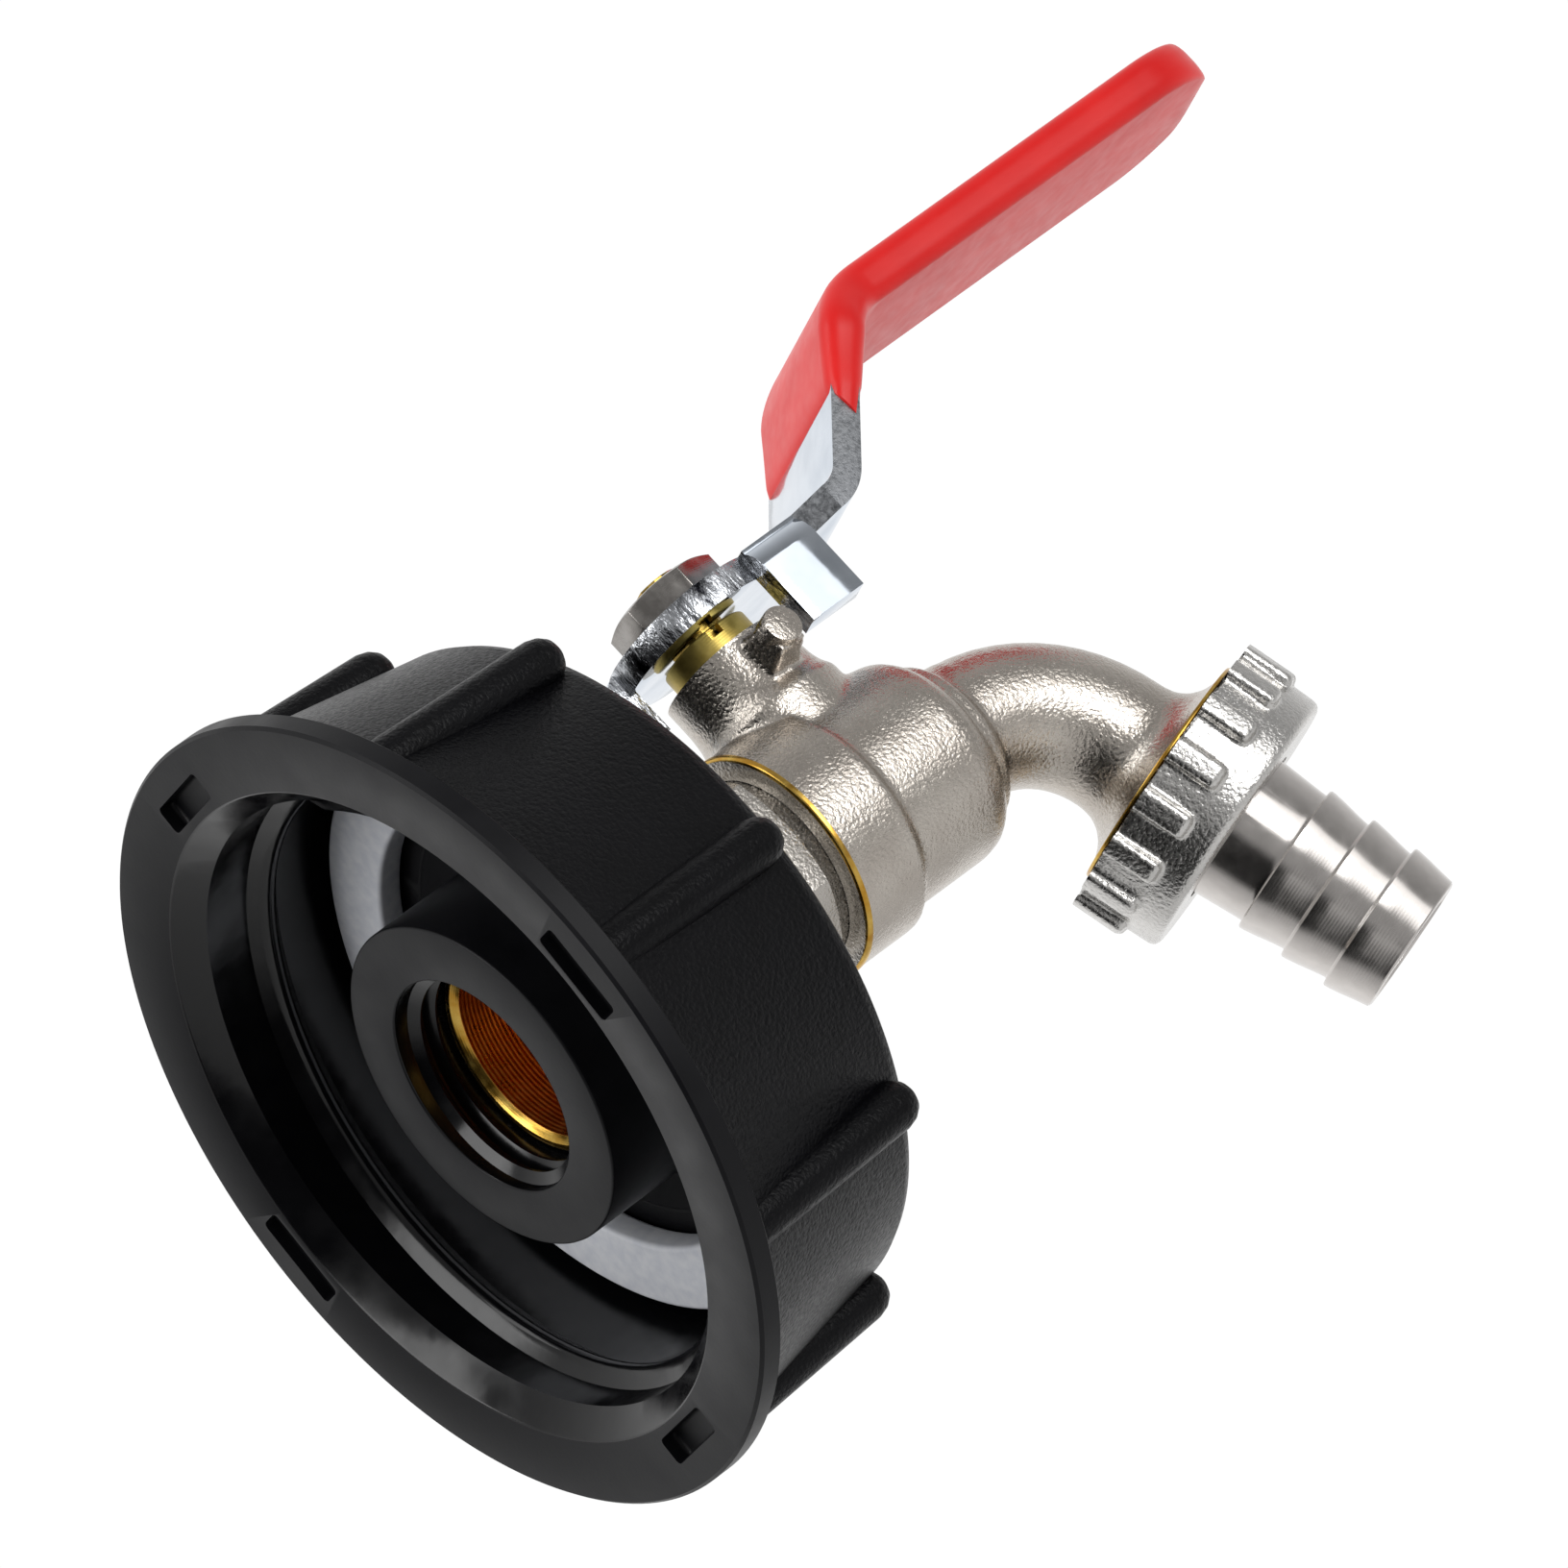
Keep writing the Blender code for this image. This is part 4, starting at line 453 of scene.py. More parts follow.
# %% Turn the coupling nut
RIM_RADIUS = 38.88
RIM_BACK = 2.4
MOUTH_RADIUS = 32.5
WALL_BACK = 33.1
THREAD_ROOT = 30.3
LIP_FRONT = 21.8
NUT_BACK = 25
coupling = turned("coupling", [
    (0, MOUTH_RADIUS), (0, RIM_RADIUS - 0.3), (0.3, RIM_RADIUS), (2.2, RIM_RADIUS), (RIM_BACK, RIM_RADIUS - 0.2),
    (RIM_BACK, 37.1), (2.55, 36.75), (2.9, 36.53),
    (23.4, WALL_BACK), (24.4, 32.6), (24.85, 32.0), (NUT_BACK, 31.3), (NUT_BACK, 15.9), (24.7, 15.5), (22, 15.5),
    (LIP_FRONT, 15.7), (LIP_FRONT, 29.8), (21.3, THREAD_ROOT),
    (RIM_BACK, THREAD_ROOT), (0.15, 32.3), (0, MOUTH_RADIUS),
], 192)
put_on(coupling, "flow")
print("coupling nut:", 2 * RIM_RADIUS, "mm across its rim")

# %% Join the eight ribs
RIB_COUNT = 8
RIB_TURN = 8
RIB_RADIUS = 2.3
RIB_HEIGHT = 35.4
RIB_FALL, RIB_REACH = 1.35, 23
bead = turned("rib", [
    (1.2, RIB_RADIUS), (21.9, RIB_RADIUS), (22.9, 2.08), (23.6, 1.65), (24.05, 1.0), (24.2, 0.4),
], 40)
bead.rotation_euler = (0, math.radians(90) + math.atan(RIB_FALL / RIB_REACH), 0)
bead.location = (0, 0, RIB_HEIGHT * MM)
choose(bead)
bpy.ops.object.transform_apply(location=True, rotation=True, scale=True)
ribs = []
for i in range(RIB_COUNT):
    rib = bead.copy()
    rib.data = bead.data.copy()
    bpy.context.scene.collection.objects.link(rib)
    rib.rotation_euler = (math.radians(RIB_TURN - 90 + 360 / RIB_COUNT * i), 0, 0)
    choose(rib)
    bpy.ops.object.transform_apply(rotation=True)
    ribs.append(rib)
bpy.data.objects.remove(bead, do_unlink=True)
for rib in ribs:
    merge(coupling, rib, "UNION")
print("ribs:", len(ribs), "beads", 2 * RIB_RADIUS, "mm wide")

# %% Cut the four slots in the rim
SLOT_RADIUS = 34.6
SLOT_SIZE = (3.2, 2.7, 8.8)
for i in range(4):
    turn = math.radians(RIB_TURN + 90 * i)
    place = (0, SLOT_RADIUS * math.cos(turn) * MM, SLOT_RADIUS * math.sin(turn) * MM)
    bpy.ops.object.select_all(action="DESELECT")
    bpy.ops.mesh.primitive_cube_add(size=MM, location=place, rotation=(turn, 0, 0), scale=SLOT_SIZE)
    slot = bpy.context.active_object
    bpy.ops.object.transform_apply(location=True, rotation=True, scale=True)
    bevel(slot, 0.5, 3)
    merge(coupling, slot, "DIFFERENCE")


def nut_finish(centre, normal):
    """0 on the grained outside, 1 on the smooth rim and slots, 2 inside the thread."""
    radius = math.hypot(centre.y, centre.z)
    if radius < MOUTH_RADIUS + 0.1 and 0.05 <= centre.x < LIP_FRONT + 0.1:
        return 2
    return 1 if centre.x < 1.8 and radius > MOUTH_RADIUS - 0.5 else 0


paint(coupling, (grained_nylon, satin_nylon, glossy_nylon), nut_finish)
finished(coupling, "coupling", "coupling_nut", 40)

# %% [markdown]
# ## Threads
# A thread is a ridge wound round the axis. Its section, a small four-sided face, is drawn
# beside the axis and the Screw modifier winds it up at the thread's pitch, with both ends
# filled. The tank thread is coarse, 6 mm from crest to crest, with one steep side. The
# spigot's thread is an ordinary half inch pipe thread, 1.814 mm from crest to crest.

# %% Wind a thread
def thread(name, section, pitch, turns, steps, axis, start):
    """Wind a section of (height, radius) pairs in millimetres into a ridge, from a start in degrees."""
    bpy.ops.object.select_all(action="DESELECT")
    bpy.ops.mesh.primitive_circle_add(vertices=len(section), radius=MM, fill_type="NGON")
    ridge = bpy.context.active_object
    ridge.name = name
    for corner, (height, radius) in zip(ridge.data.vertices, section):
        corner.co = (radius * MM, 0, height * MM)
    apply(
        ridge, "SCREW", axis="Z", angle=2 * math.pi * turns, screw_offset=pitch * turns * MM,
        steps=int(steps * turns), render_steps=int(steps * turns), use_merge_vertices=True,
    )
    bpy.ops.object.mode_set(mode="EDIT")
    bpy.ops.mesh.select_all(action="SELECT")
    bpy.ops.mesh.remove_doubles(threshold=MM / 1000)
    bpy.ops.mesh.fill_holes(sides=0)
    bpy.ops.mesh.select_all(action="SELECT")
    bpy.ops.mesh.normals_make_consistent(inside=False)
    bpy.ops.object.mode_set(mode="OBJECT")
    ridge.rotation_euler = (0, 0, math.radians(start))
    bpy.ops.object.transform_apply(rotation=True)
    return put_on(ridge, axis)


TANK_PITCH = 6
PIPE_PITCH = 1.814
tank_thread = thread("coupling_thread", [
    (2.0, 30.5), (2.7, 29.4), (3.0, 28.98), (3.3, 28.76), (3.7, 28.7), (4.1, 28.8), (4.6, 29.2),
    (5.2, 29.9), (5.9, 30.45),
], TANK_PITCH, 1.4, 96, "flow", 125)
tank_thread.data.materials.append(glossy_nylon)
finished(tank_thread, "coupling")
pipe_thread = thread("spigot_thread", [
    (5.6, 10.6), (6.3, 9.55), (6.55, 9.55), (7.25, 10.6),
], PIPE_PITCH, 1.95, 72, "flow", 160)
pipe_thread.data.materials.append(glossy_nylon)
finished(pipe_thread, "valve")

# %% [markdown]
# ## Spigot, gasket and washers
# The spigot's round boss has a smooth face inside the nut's mouth. Behind it a flange carries
# the white gasket. Both are plain lathe pieces, and their edges are rounded with a bevel so
# that they catch a line of light.

# %% Turn the spigot and its gasket
spigot = turned("spigot_boss", [
    (5.4, 10.5), (5.4, 15.9), (17.4, 15.9), (18.3, 16.4), (18.6, 17.1), (18.6, 20.3), (18.72, 20.5), (18.6, 20.7),
    (18.6, 29.0), (21.5, 29.0), (21.5, 15.1), (29.5, 15.1), (29.5, 10.5), (5.4, 10.5),
], 160)
bevel(spigot, 0.35, 3, 50)
put_on(spigot, "flow")
paint(spigot, (satin_nylon, glossy_nylon), lambda c, n: 1 if math.hypot(c.y, c.z) < 10.55 else 0)
finished(spigot, "valve", "spigot")

gasket = turned("gasket_ring", [(15.5, 22.4), (15.5, 28.8), (18.3, 28.8), (18.3, 22.4), (15.5, 22.4)], 160)
bevel(gasket, 0.5, 4)
put_on(gasket, "flow")
gasket.data.materials.append(white_silicone)
finished(gasket, "valve", "tank_gasket")

washer = turned("connector_washer", [(29.8, 10.5), (29.8, 14), (30.8, 14), (30.8, 10.5), (29.8, 10.5)], 96)
bevel(washer, 0.15, 2)
put_on(washer, "flow")
washer.data.materials.append(black_nitrile)
finished(washer, "valve", "inlet_washer")

# %% [markdown]
# ## Inlet connector
# The connector screws into the spigot and the body. A spanner hexagon sits between its two
# threads. A hexagon bar is crossed with a lathe piece that has chamfered ends, which turns its
# corners down to the arcs that a real hexagon shows.

# %% Turn the connector and its hexagon
def hexagon(name, across, bottom, top, face_radius, chamfer):
    """A hexagon bar whose corners are turned down at both faces."""
    corner = across / 2 / math.cos(math.pi / 6)
    bar = turned(name, [(bottom, corner), (top, corner)], 6)
    wide = corner + 0.3
    barrel = turned("barrel", [
        (bottom, face_radius), (bottom + chamfer, wide), (top - chamfer, wide), (top, face_radius),
    ], 96)
    return merge(bar, barrel, "INTERSECT")


HEX_ACROSS = 20.0
HEX_FRONT, HEX_BACK = 31.1, 39.9
connector = turned("connector_barrel", [
    (10.8, 9.2), (10.8, 9.7), (11.3, 10.2), (HEX_FRONT, 10.2), (HEX_FRONT, 9.6), (HEX_BACK, 9.6), (HEX_BACK, 9.0),
    (47.2, 9.0), (47.2, 8.0), (43.66, 8.0), (43.66, 5.0), (41.2, 5.0), (36.2, 8.6), (11.4, 8.6), (10.8, 9.2),
], 128)
hexagon_bar = hexagon("connector_hexagon", HEX_ACROSS, HEX_FRONT, HEX_BACK, 9.35, 1.25)
bore = turned("bore", [(30, 9.2), (41, 9.2)], 64)
merge(hexagon_bar, bore, "DIFFERENCE")
merge(connector, hexagon_bar, "UNION")
bevel(connector, 0.12, 2, 25)
put_on(connector, "flow")


def connector_finish(centre, normal):
    """0 on the plating, 1 in the bore, 2 on the bright edge at its mouth."""
    radius = math.hypot(centre.y, centre.z)
    if centre.x < 11.35 and radius < 9.75:
        return 2
    return 1 if centre.x < 43.6 and radius < 8.7 else 0


paint(connector, (hex_nickel, bore_brass, raw_brass), connector_finish)
finished(connector, "valve", "inlet_connector", 30)

# %% [markdown]
# ## Valve body
# The body is a brass casting: a barrel round the ball, a boss for the stem with a stop peg,
# and an elbow that leans back by 15 degrees. Castings have no sharp inner corners. So its
# parts are made a little too long, joined, and remeshed with voxels of a quarter millimetre,
# and a smoothing pass then leaves the soft fillets. The machined faces are cut flat after it.

# %% Make the rough casting
barrel = turned("body_casting", [
    (40.5, 11.15), (48.9, 11.15), (49.9, 10.0), (59.0, 10.0), (60.2, 9.75), (61.0, 9.2), (61.5, 8.4), (61.5, 8.0),
    (62.8, 8.0), (64, 6.4), (66, 6.4),
], 96)
put_on(barrel, "flow")
boss = turned("boss", [
    (4, 7.3), (10.9, 7.3), (11.8, 6.75), (12.9, 6.45), (14.5, 6.3), (18.5, 6.3),
], 96)
put_on(boss, "stem")

SPOUT_START = 62.0
SPOUT_RADIUS = 6.4
ELBOW_CORNER = 73.4
ELBOW_RADIUS = 12.3
ELBOW_TURN = 75
LEAN = math.radians(15)
elbow = [(SPOUT_START, 0, 0, SPOUT_RADIUS, SPOUT_RADIUS)]
for x, z, turn in bent(ELBOW_CORNER, 0, 0, ELBOW_TURN, ELBOW_RADIUS, 12):
    elbow.append((x, z, turn, SPOUT_RADIUS, SPOUT_RADIUS))
FLARE = ((-4.3, SPOUT_RADIUS), (-3.1, 6.62), (-2.1, 7.2), (-1.3, 8.1), (-0.75, 9.4), (-0.45, 11.0), (0.6, 11.0))
for s, radius in FLARE:
    elbow.append((OUTLET.x + s * math.sin(LEAN), OUTLET.z - s * math.cos(LEAN), ELBOW_TURN, radius, radius))


def start_section(x, z, radius, sides=64):
    """A round face square to X, in edit mode, ready to be swept."""
    bpy.ops.object.select_all(action="DESELECT")
    bpy.ops.mesh.primitive_circle_add(
        vertices=sides, radius=radius * MM, fill_type="NGON", location=(x * MM, 0, z * MM),
        rotation=(0, math.pi / 2, 0),
    )
    bpy.ops.object.transform_apply(location=True, rotation=True, scale=True)
    bpy.ops.object.mode_set(mode="EDIT")
    bpy.ops.mesh.select_all(action="SELECT")
    return bpy.context.active_object


spout = swept(start_section(SPOUT_START, 0, SPOUT_RADIUS), elbow)
print("spout leans", round(math.degrees(LEAN)), "degrees from straight down")

# %% Add the stop peg's foot
PEG_TURN = math.radians(-81.5)
PEG_Z = 15.0


def radial(piece):
    """Turn a piece made along +X beside the stem to the peg's side."""
    piece.rotation_euler = (0, 0, PEG_TURN)
    piece.location = (STEM_X * MM, 0, 0)
    choose(piece)
    bpy.ops.object.transform_apply(location=True, rotation=True, scale=True)
    return piece


bpy.ops.object.select_all(action="DESELECT")
bpy.ops.mesh.primitive_cube_add(size=MM, location=(6.6 * MM, 0, 14.4 * MM), scale=(5.6, 4.4, 5.0))
foot = bpy.context.active_object
bpy.ops.object.transform_apply(location=True, rotation=True, scale=True)
bpy.ops.object.mode_set(mode="EDIT")
bpy.ops.mesh.select_mode(type="FACE")
bpy.ops.mesh.select_all(action="DESELECT")
bpy.ops.object.mode_set(mode="OBJECT")
for face in foot.data.polygons:
    face.select = face.normal.x > 0.9
bpy.ops.object.mode_set(mode="EDIT")
bpy.ops.transform.resize(value=(1, 0.72, 0.62), center_override=(9.4 * MM, 0, PEG_Z * MM))
bpy.ops.object.mode_set(mode="OBJECT")
radial(foot)
print("peg's foot:", len(foot.data.polygons), "faces")

# %% Join, remesh and smooth the casting
bpy.ops.object.select_all(action="DESELECT")
for part in (barrel, boss, spout, foot):
    part.select_set(True)
bpy.context.view_layer.objects.active = barrel
bpy.ops.object.join()
body = bpy.context.active_object
apply(body, "REMESH", mode="VOXEL", voxel_size=0.27 * MM)
apply(body, "SMOOTH", factor=0.5, iterations=8)
print("casting:", len(body.data.polygons), "faces after the remesh")


# %% Cut the machined faces
def slice_off(piece, point, normal):
    """Cut away what lies beyond a plane and close the cut."""
    choose(piece)
    bpy.ops.object.mode_set(mode="EDIT")
    bpy.ops.mesh.select_all(action="SELECT")
    bpy.ops.mesh.bisect(plane_co=[c * MM for c in point], plane_no=normal, clear_outer=True, use_fill=True)
    bpy.ops.object.mode_set(mode="OBJECT")


OUTLET_WAY = (math.sin(LEAN), 0, -math.cos(LEAN))
slice_off(body, (41.9, 0, 0), (-1, 0, 0))
slice_off(body, (0, 0, 17.5), (0, 0, 1))
slice_off(body, (OUTLET.x - 0.3 * OUTLET_WAY[0], 0, OUTLET.z - 0.3 * OUTLET_WAY[2]), OUTLET_WAY)
print("body:", len(body.data.polygons), "faces after three flat cuts")

# %% Bore the body
chamber = turned("chamber", [(40, 9.3), (47.5, 9.3), (47.5, 8.0), (59.54, 8.0)], 96)
put_on(chamber, "flow")
merge(body, chamber, "DIFFERENCE")
stem_bore = turned("stem_bore", [(8, 3.3), (11.4, 3.3), (11.4, 4.8), (19, 4.8)], 64)
put_on(stem_bore, "stem")
merge(body, stem_bore, "DIFFERENCE")
BORE_START = 58.5
BORE_RADIUS = 5
way = [(BORE_START, 0, 0, BORE_RADIUS, BORE_RADIUS)]
for x, z, turn in bent(ELBOW_CORNER, 0, 0, ELBOW_TURN, ELBOW_RADIUS, 10):
    way.append((x, z, turn, BORE_RADIUS, BORE_RADIUS))
way.append((OUTLET.x + OUTLET_WAY[0], OUTLET.z + OUTLET_WAY[2], ELBOW_TURN, BORE_RADIUS, BORE_RADIUS))
spout_bore = swept(start_section(BORE_START, 0, BORE_RADIUS, 48), way)
merge(body, spout_bore, "DIFFERENCE")
print("body:", len(body.data.polygons), "faces after boring")

# %% Add the peg's round end
tip = turned("peg_tip", [(8.2, 1.85), (9.95, 1.85), (10.13, 1.78), (10.2, 1.6)], 48)
tip.rotation_euler = (0, math.pi / 2, 0)
tip.location = (0, 0, PEG_Z * MM)
choose(tip)
bpy.ops.object.transform_apply(location=True, rotation=True, scale=True)
radial(tip)
merge(body, tip, "UNION")
body.name = "body_casting"
body.data.materials.clear()


def body_finish(centre, normal):
    """0 on the plated casting, 1 in the machined chamber."""
    return 1 if math.hypot(centre.y, centre.z) < 9.32 and centre.x < 60 and centre.z < 9 else 0


paint(body, (cast_nickel, raw_brass), body_finish)
finished(body, "valve", "valve_body", 40)

# %% [markdown]
# ## Machined rings of the body
# After plating, a tool skimmed the body's front edge and the spout's flange, and there the raw
# brass shines gold. These are thin lathe rings set into the casting.

# %% Turn the two brass rings and the outlet's thread
front_ring = turned("body_front_ring", [
    (41.5, 9.05), (41.5, 10.95), (41.62, 11.15), (41.8, 11.25), (42.15, 11.25), (42.3, 11.0), (42.3, 9.05),
    (41.5, 9.05),
], 128)
put_on(front_ring, "flow")
paint(front_ring, (raw_brass, hex_nickel), lambda c, n: 1 if math.hypot(c.y, c.z) < 10.9 else 0)
finished(front_ring, "valve")

edge_ring = turned("outlet_edge_ring", [
    (-0.62, 10.4), (-0.62, 10.92), (-0.5, 11.0), (-0.34, 11.0), (-0.28, 10.9), (-0.28, 10.4), (-0.62, 10.4),
], 128)
put_on(edge_ring, "outlet")
edge_ring.data.materials.append(raw_brass)
finished(edge_ring, "valve")

outlet_tube = turned("outlet_tube", [
    (-0.5, 5.0), (-0.5, 10.0), (0.1, 10.2), (2.7, 10.2), (3.0, 9.9), (3.0, 5.3), (2.7, 5.0), (-0.5, 5.0),
], 96)
put_on(outlet_tube, "outlet")
outlet_tube.data.materials.append(raw_brass)
finished(outlet_tube, "valve")

# %% [markdown]
# ## Gland
# A brass gland with a screwdriver slot presses the packing round the stem. It shows as a
# golden neck between the boss and the lever.

# %% Turn and slot the gland
gland = turned("gland", [(15.1, 3.3), (15.1, 4.5), (19.9, 4.5), (19.9, 3.3), (15.1, 3.3)], 96)
bevel(gland, 0.25, 3)
put_on(gland, "stem")
bpy.ops.object.select_all(action="DESELECT")
bpy.ops.mesh.primitive_cube_add(
    size=MM, location=(STEM_X * MM, 0, 19.7 * MM), rotation=(0, 0, math.radians(-100)), scale=(12, 1.4, 1.6),
)
slot = bpy.context.active_object
bpy.ops.object.transform_apply(location=True, rotation=True, scale=True)
merge(gland, slot, "DIFFERENCE")
gland.data.materials.append(gland_brass)
finished(gland, "valve", "gland_nut", 30)

# %% [markdown]
# ## Lever
# The lever is stamped from 2.6 mm sheet and bent twice: it rises at 47 degrees and then runs
# level to its sleeve. The strap is one thin section extruded along that path. It is widest on
# the rise and narrows over the upper bend. A round disc sits on the stem, and two tabs bent
# down from the sheet's edge meet the body's peg and stop the turn.

# %% Sweep the strap
LEVER_BOTTOM = 20.2
THICKNESS = 2.6
LEVER_MIDDLE = LEVER_BOTTOM + THICKNESS / 2
ARM_HEIGHT = 36.1
SLOPE = 47
ROOT_HALF, RISE_HALF, RISE_TOP_HALF, ARM_HALF = 8.25, 10.5, 10.0, 7.9
LOW_CORNER, HIGH_CORNER = 67.15, 80.765
TIP_X = 128.75
TAB_X = 56.0
TAB_WIDTH = 6.2
low_bend = bent(LOW_CORNER, LEVER_MIDDLE, 0, -SLOPE, 4.5, 8)
high_bend = bent(HIGH_CORNER, ARM_HEIGHT, -SLOPE, 0, 8.5, 14)


def start_plate(x, z, turn, half_width, half_height):
    """A flat rectangle square to the path, in edit mode, ready to be swept."""
    bpy.ops.object.select_all(action="DESELECT")
    bpy.ops.mesh.primitive_plane_add(
        size=2 * MM, location=(x * MM, 0, z * MM), rotation=(0, math.radians(turn + 90), 0),
    )
    bpy.context.active_object.scale = (half_height, half_width, 1)
    bpy.ops.object.transform_apply(location=True, rotation=True, scale=True)
    bpy.ops.object.mode_set(mode="EDIT")
    bpy.ops.mesh.select_all(action="SELECT")
    return bpy.context.active_object


def narrowed(share):
    """Half width of the strap over the upper bend, eased from the rise's to the arm's."""
    return RISE_TOP_HALF - (RISE_TOP_HALF - ARM_HALF) * share * share * (3 - 2 * share)


half = THICKNESS / 2
strap_way = [(x, LEVER_MIDDLE, 0, ROOT_HALF, half) for x in (TAB_X, TAB_X + TAB_WIDTH)]
strap_way += [(x, z, turn, RISE_HALF, half) for x, z, turn in low_bend]
HIGH_STEPS = len(high_bend) - 1
strap_way += [(x, z, turn, narrowed(i / HIGH_STEPS), half) for i, (x, z, turn) in enumerate(high_bend)]
strap_way.append((TIP_X - 6, ARM_HEIGHT, 0, ARM_HALF, half))
lever = swept(start_plate(*strap_way[0]), strap_way)
lever.name = "lever_strap"
print("strap ends at", [round(c / MM, 2) for c in lever.data.vertices[-1].co])


# %% Bend the two stop tabs
def tab(length, edge, reach, foot):
    """A tab that leaves the sheet's edge towards -Y, bends down and ends at the foot's height."""
    bpy.ops.object.select_all(action="DESELECT")
    bpy.ops.mesh.primitive_plane_add(
        size=MM, location=(length / 2 * MM, (THICKNESS - edge) * MM, LEVER_MIDDLE * MM),
        rotation=(math.pi / 2, 0, 0),
    )
    bpy.context.active_object.scale = (length, THICKNESS, 1)
    bpy.ops.object.transform_apply(location=True, rotation=True, scale=True)
    bpy.ops.object.mode_set(mode="EDIT")
    bpy.ops.mesh.select_all(action="SELECT")
    bpy.ops.mesh.extrude_region_move(TRANSFORM_OT_translate={"value": (0, (edge - reach) * MM, 0)})
    inside = (0, (THICKNESS - reach) * MM, LEVER_BOTTOM * MM)
    bpy.ops.mesh.spin(steps=8, angle=math.pi / 2, center=inside, axis=(-1, 0, 0))
    bpy.ops.mesh.extrude_region_move(TRANSFORM_OT_translate={"value": (0, 0, (foot - LEVER_BOTTOM) * MM)})
    bpy.ops.mesh.select_all(action="SELECT")
    bpy.ops.mesh.normals_make_consistent(inside=False)
    bpy.ops.object.mode_set(mode="OBJECT")
    return bpy.context.active_object


def settle(piece, x, y, turn):
    """Move a piece to a place and turn about Z, in millimetres and degrees."""
    piece.location = (x * MM, y * MM, 0)
    piece.rotation_euler = (0, 0, math.radians(turn))
    choose(piece)
    bpy.ops.object.transform_apply(location=True, rotation=True, scale=True)
    return piece


stop_tab = settle(tab(TAB_WIDTH, ROOT_HALF, 9.4, 13.8), TAB_X, 0, 0)
close_tab = settle(tab(4.0, 8.4, 10.2, 15.8), STEM_X, 4.9, -90)
print("stop tab reaches", round(min(v.co.y for v in stop_tab.data.vertices) / MM, 2), "mm")
disc = turned("disc", [(LEVER_BOTTOM, 8.4), (LEVER_BOTTOM + THICKNESS, 8.4)], 128)
put_on(disc, "stem")
for part in (disc, stop_tab, close_tab):
    merge(lever, part, "UNION")
hole = put_on(turned("hole", [(LEVER_BOTTOM - 1, 2.85), (LEVER_BOTTOM + 4, 2.85)], 48), "stem")
merge(lever, hole, "DIFFERENCE")

# %% Round the lever's edges
MERGE_DISTANCE = 0.01
choose(lever)
bpy.ops.object.mode_set(mode="EDIT")
bpy.ops.mesh.select_all(action="SELECT")
bpy.ops.mesh.remove_doubles(threshold=MERGE_DISTANCE * MM)
bpy.ops.mesh.normals_make_consistent(inside=False)
bpy.ops.object.mode_set(mode="OBJECT")
bevel(lever, 0.3, 3, 40)


def lever_finish(centre, normal):
    """0 on the sheet's faces, 1 on the round disc's and tabs' torn edges, 2 on the strap's sides."""
    if abs(normal.y) > 0.6 and centre.x > 62.5:
        return 2
    if centre.y < -6.5 and abs(centre.x - TAB_X - TAB_WIDTH / 2) < 3.2 and abs(normal.x) < 0.5 and centre.z > 14:
        return 0
    rim = math.hypot(centre.x - STEM_X, centre.y)
    return 1 if abs(normal.z) < 0.6 and rim > 7.5 and centre.x < 62.5 else 0


paint(lever, (bright_chrome, torn_chrome, sheared_steel), lever_finish)
finished(lever, "handle", "lever", 35)

# %% [markdown]
# ## Lever sleeve
# The sleeve is a dipped vinyl cover. Its section is a rounded oblong, swept over the rise and
# the arm. The mouth is thin and cut at a slant, the wall grows to 0.85 mm, and the end is
# round: there the section gets narrower by the half circle's formula.

# %% Sweep the sleeve
SKIN = 0.85
MOUTH_UP_RISE = 9.6
MOUTH_SLANT = 43
MOUTH_SKIN = 0.12
RISE_SKIN = (  # share of the rise, skin on the sides, skin on the faces
    (0.07, 0.26, 0.3), (0.14, 0.28, 0.42), (0.3, 0.25, 0.52), (0.5, 0.22, 0.62), (0.75, 0.25, 0.74), (0.92, 0.32, 0.82),
)
rise = math.radians(SLOPE)
mouth_x = LOW_CORNER + MOUTH_UP_RISE * math.cos(rise)
mouth_z = LEVER_MIDDLE + MOUTH_UP_RISE * math.sin(rise)
low_x, low_z, _ = high_bend[0]
first_x, first_z = mouth_x - 1.3 * math.cos(rise), mouth_z - 1.3 * math.sin(rise)
mouth_half = (half + MOUTH_SKIN) / math.cos(math.radians(MOUTH_SLANT))
sleeve_way = [(first_x, first_z, MOUTH_SLANT - SLOPE, RISE_HALF + MOUTH_SKIN, mouth_half)]
for share, side, more in RISE_SKIN:
    x, z = mouth_x + (low_x - mouth_x) * share, mouth_z + (low_z - mouth_z) * share
    sleeve_way.append((x, z, -SLOPE, RISE_HALF + side, half + more))
for i, (x, z, turn) in enumerate(high_bend):
    sleeve_way.append((x, z, turn, narrowed(i / HIGH_STEPS) + SKIN, half + SKIN))
skin_half = ARM_HALF + SKIN
for x in (90, 96, 102, 108, 114):
    sleeve_way.append((x, ARM_HEIGHT, 0, skin_half, half + SKIN))
start = TIP_X - skin_half
TIP_STEPS = 24
for i in range(TIP_STEPS + 1):
    past = math.sin(math.pi / 2 * i / TIP_STEPS * 0.995)
    flank = 1 - 0.5 * max(0.0, (past - 0.7) / 0.3) ** 2
    width, thick = skin_half * math.sqrt(1 - past * past), (half + SKIN) * math.sqrt(flank)
    sleeve_way.append((start + skin_half * past, ARM_HEIGHT, 0, width, thick))
sleeve = start_plate(*sleeve_way[0])
bpy.ops.mesh.bevel(offset=1.6 * MM, segments=8, affect="VERTICES")
bpy.ops.mesh.select_all(action="SELECT")
sleeve = swept(sleeve, sleeve_way)
sleeve.name = "sleeve_skin"
print("sleeve ends at", round(max(v.co.x for v in sleeve.data.vertices) / MM, 2), "mm")
sleeve.data.materials.append(red_vinyl)
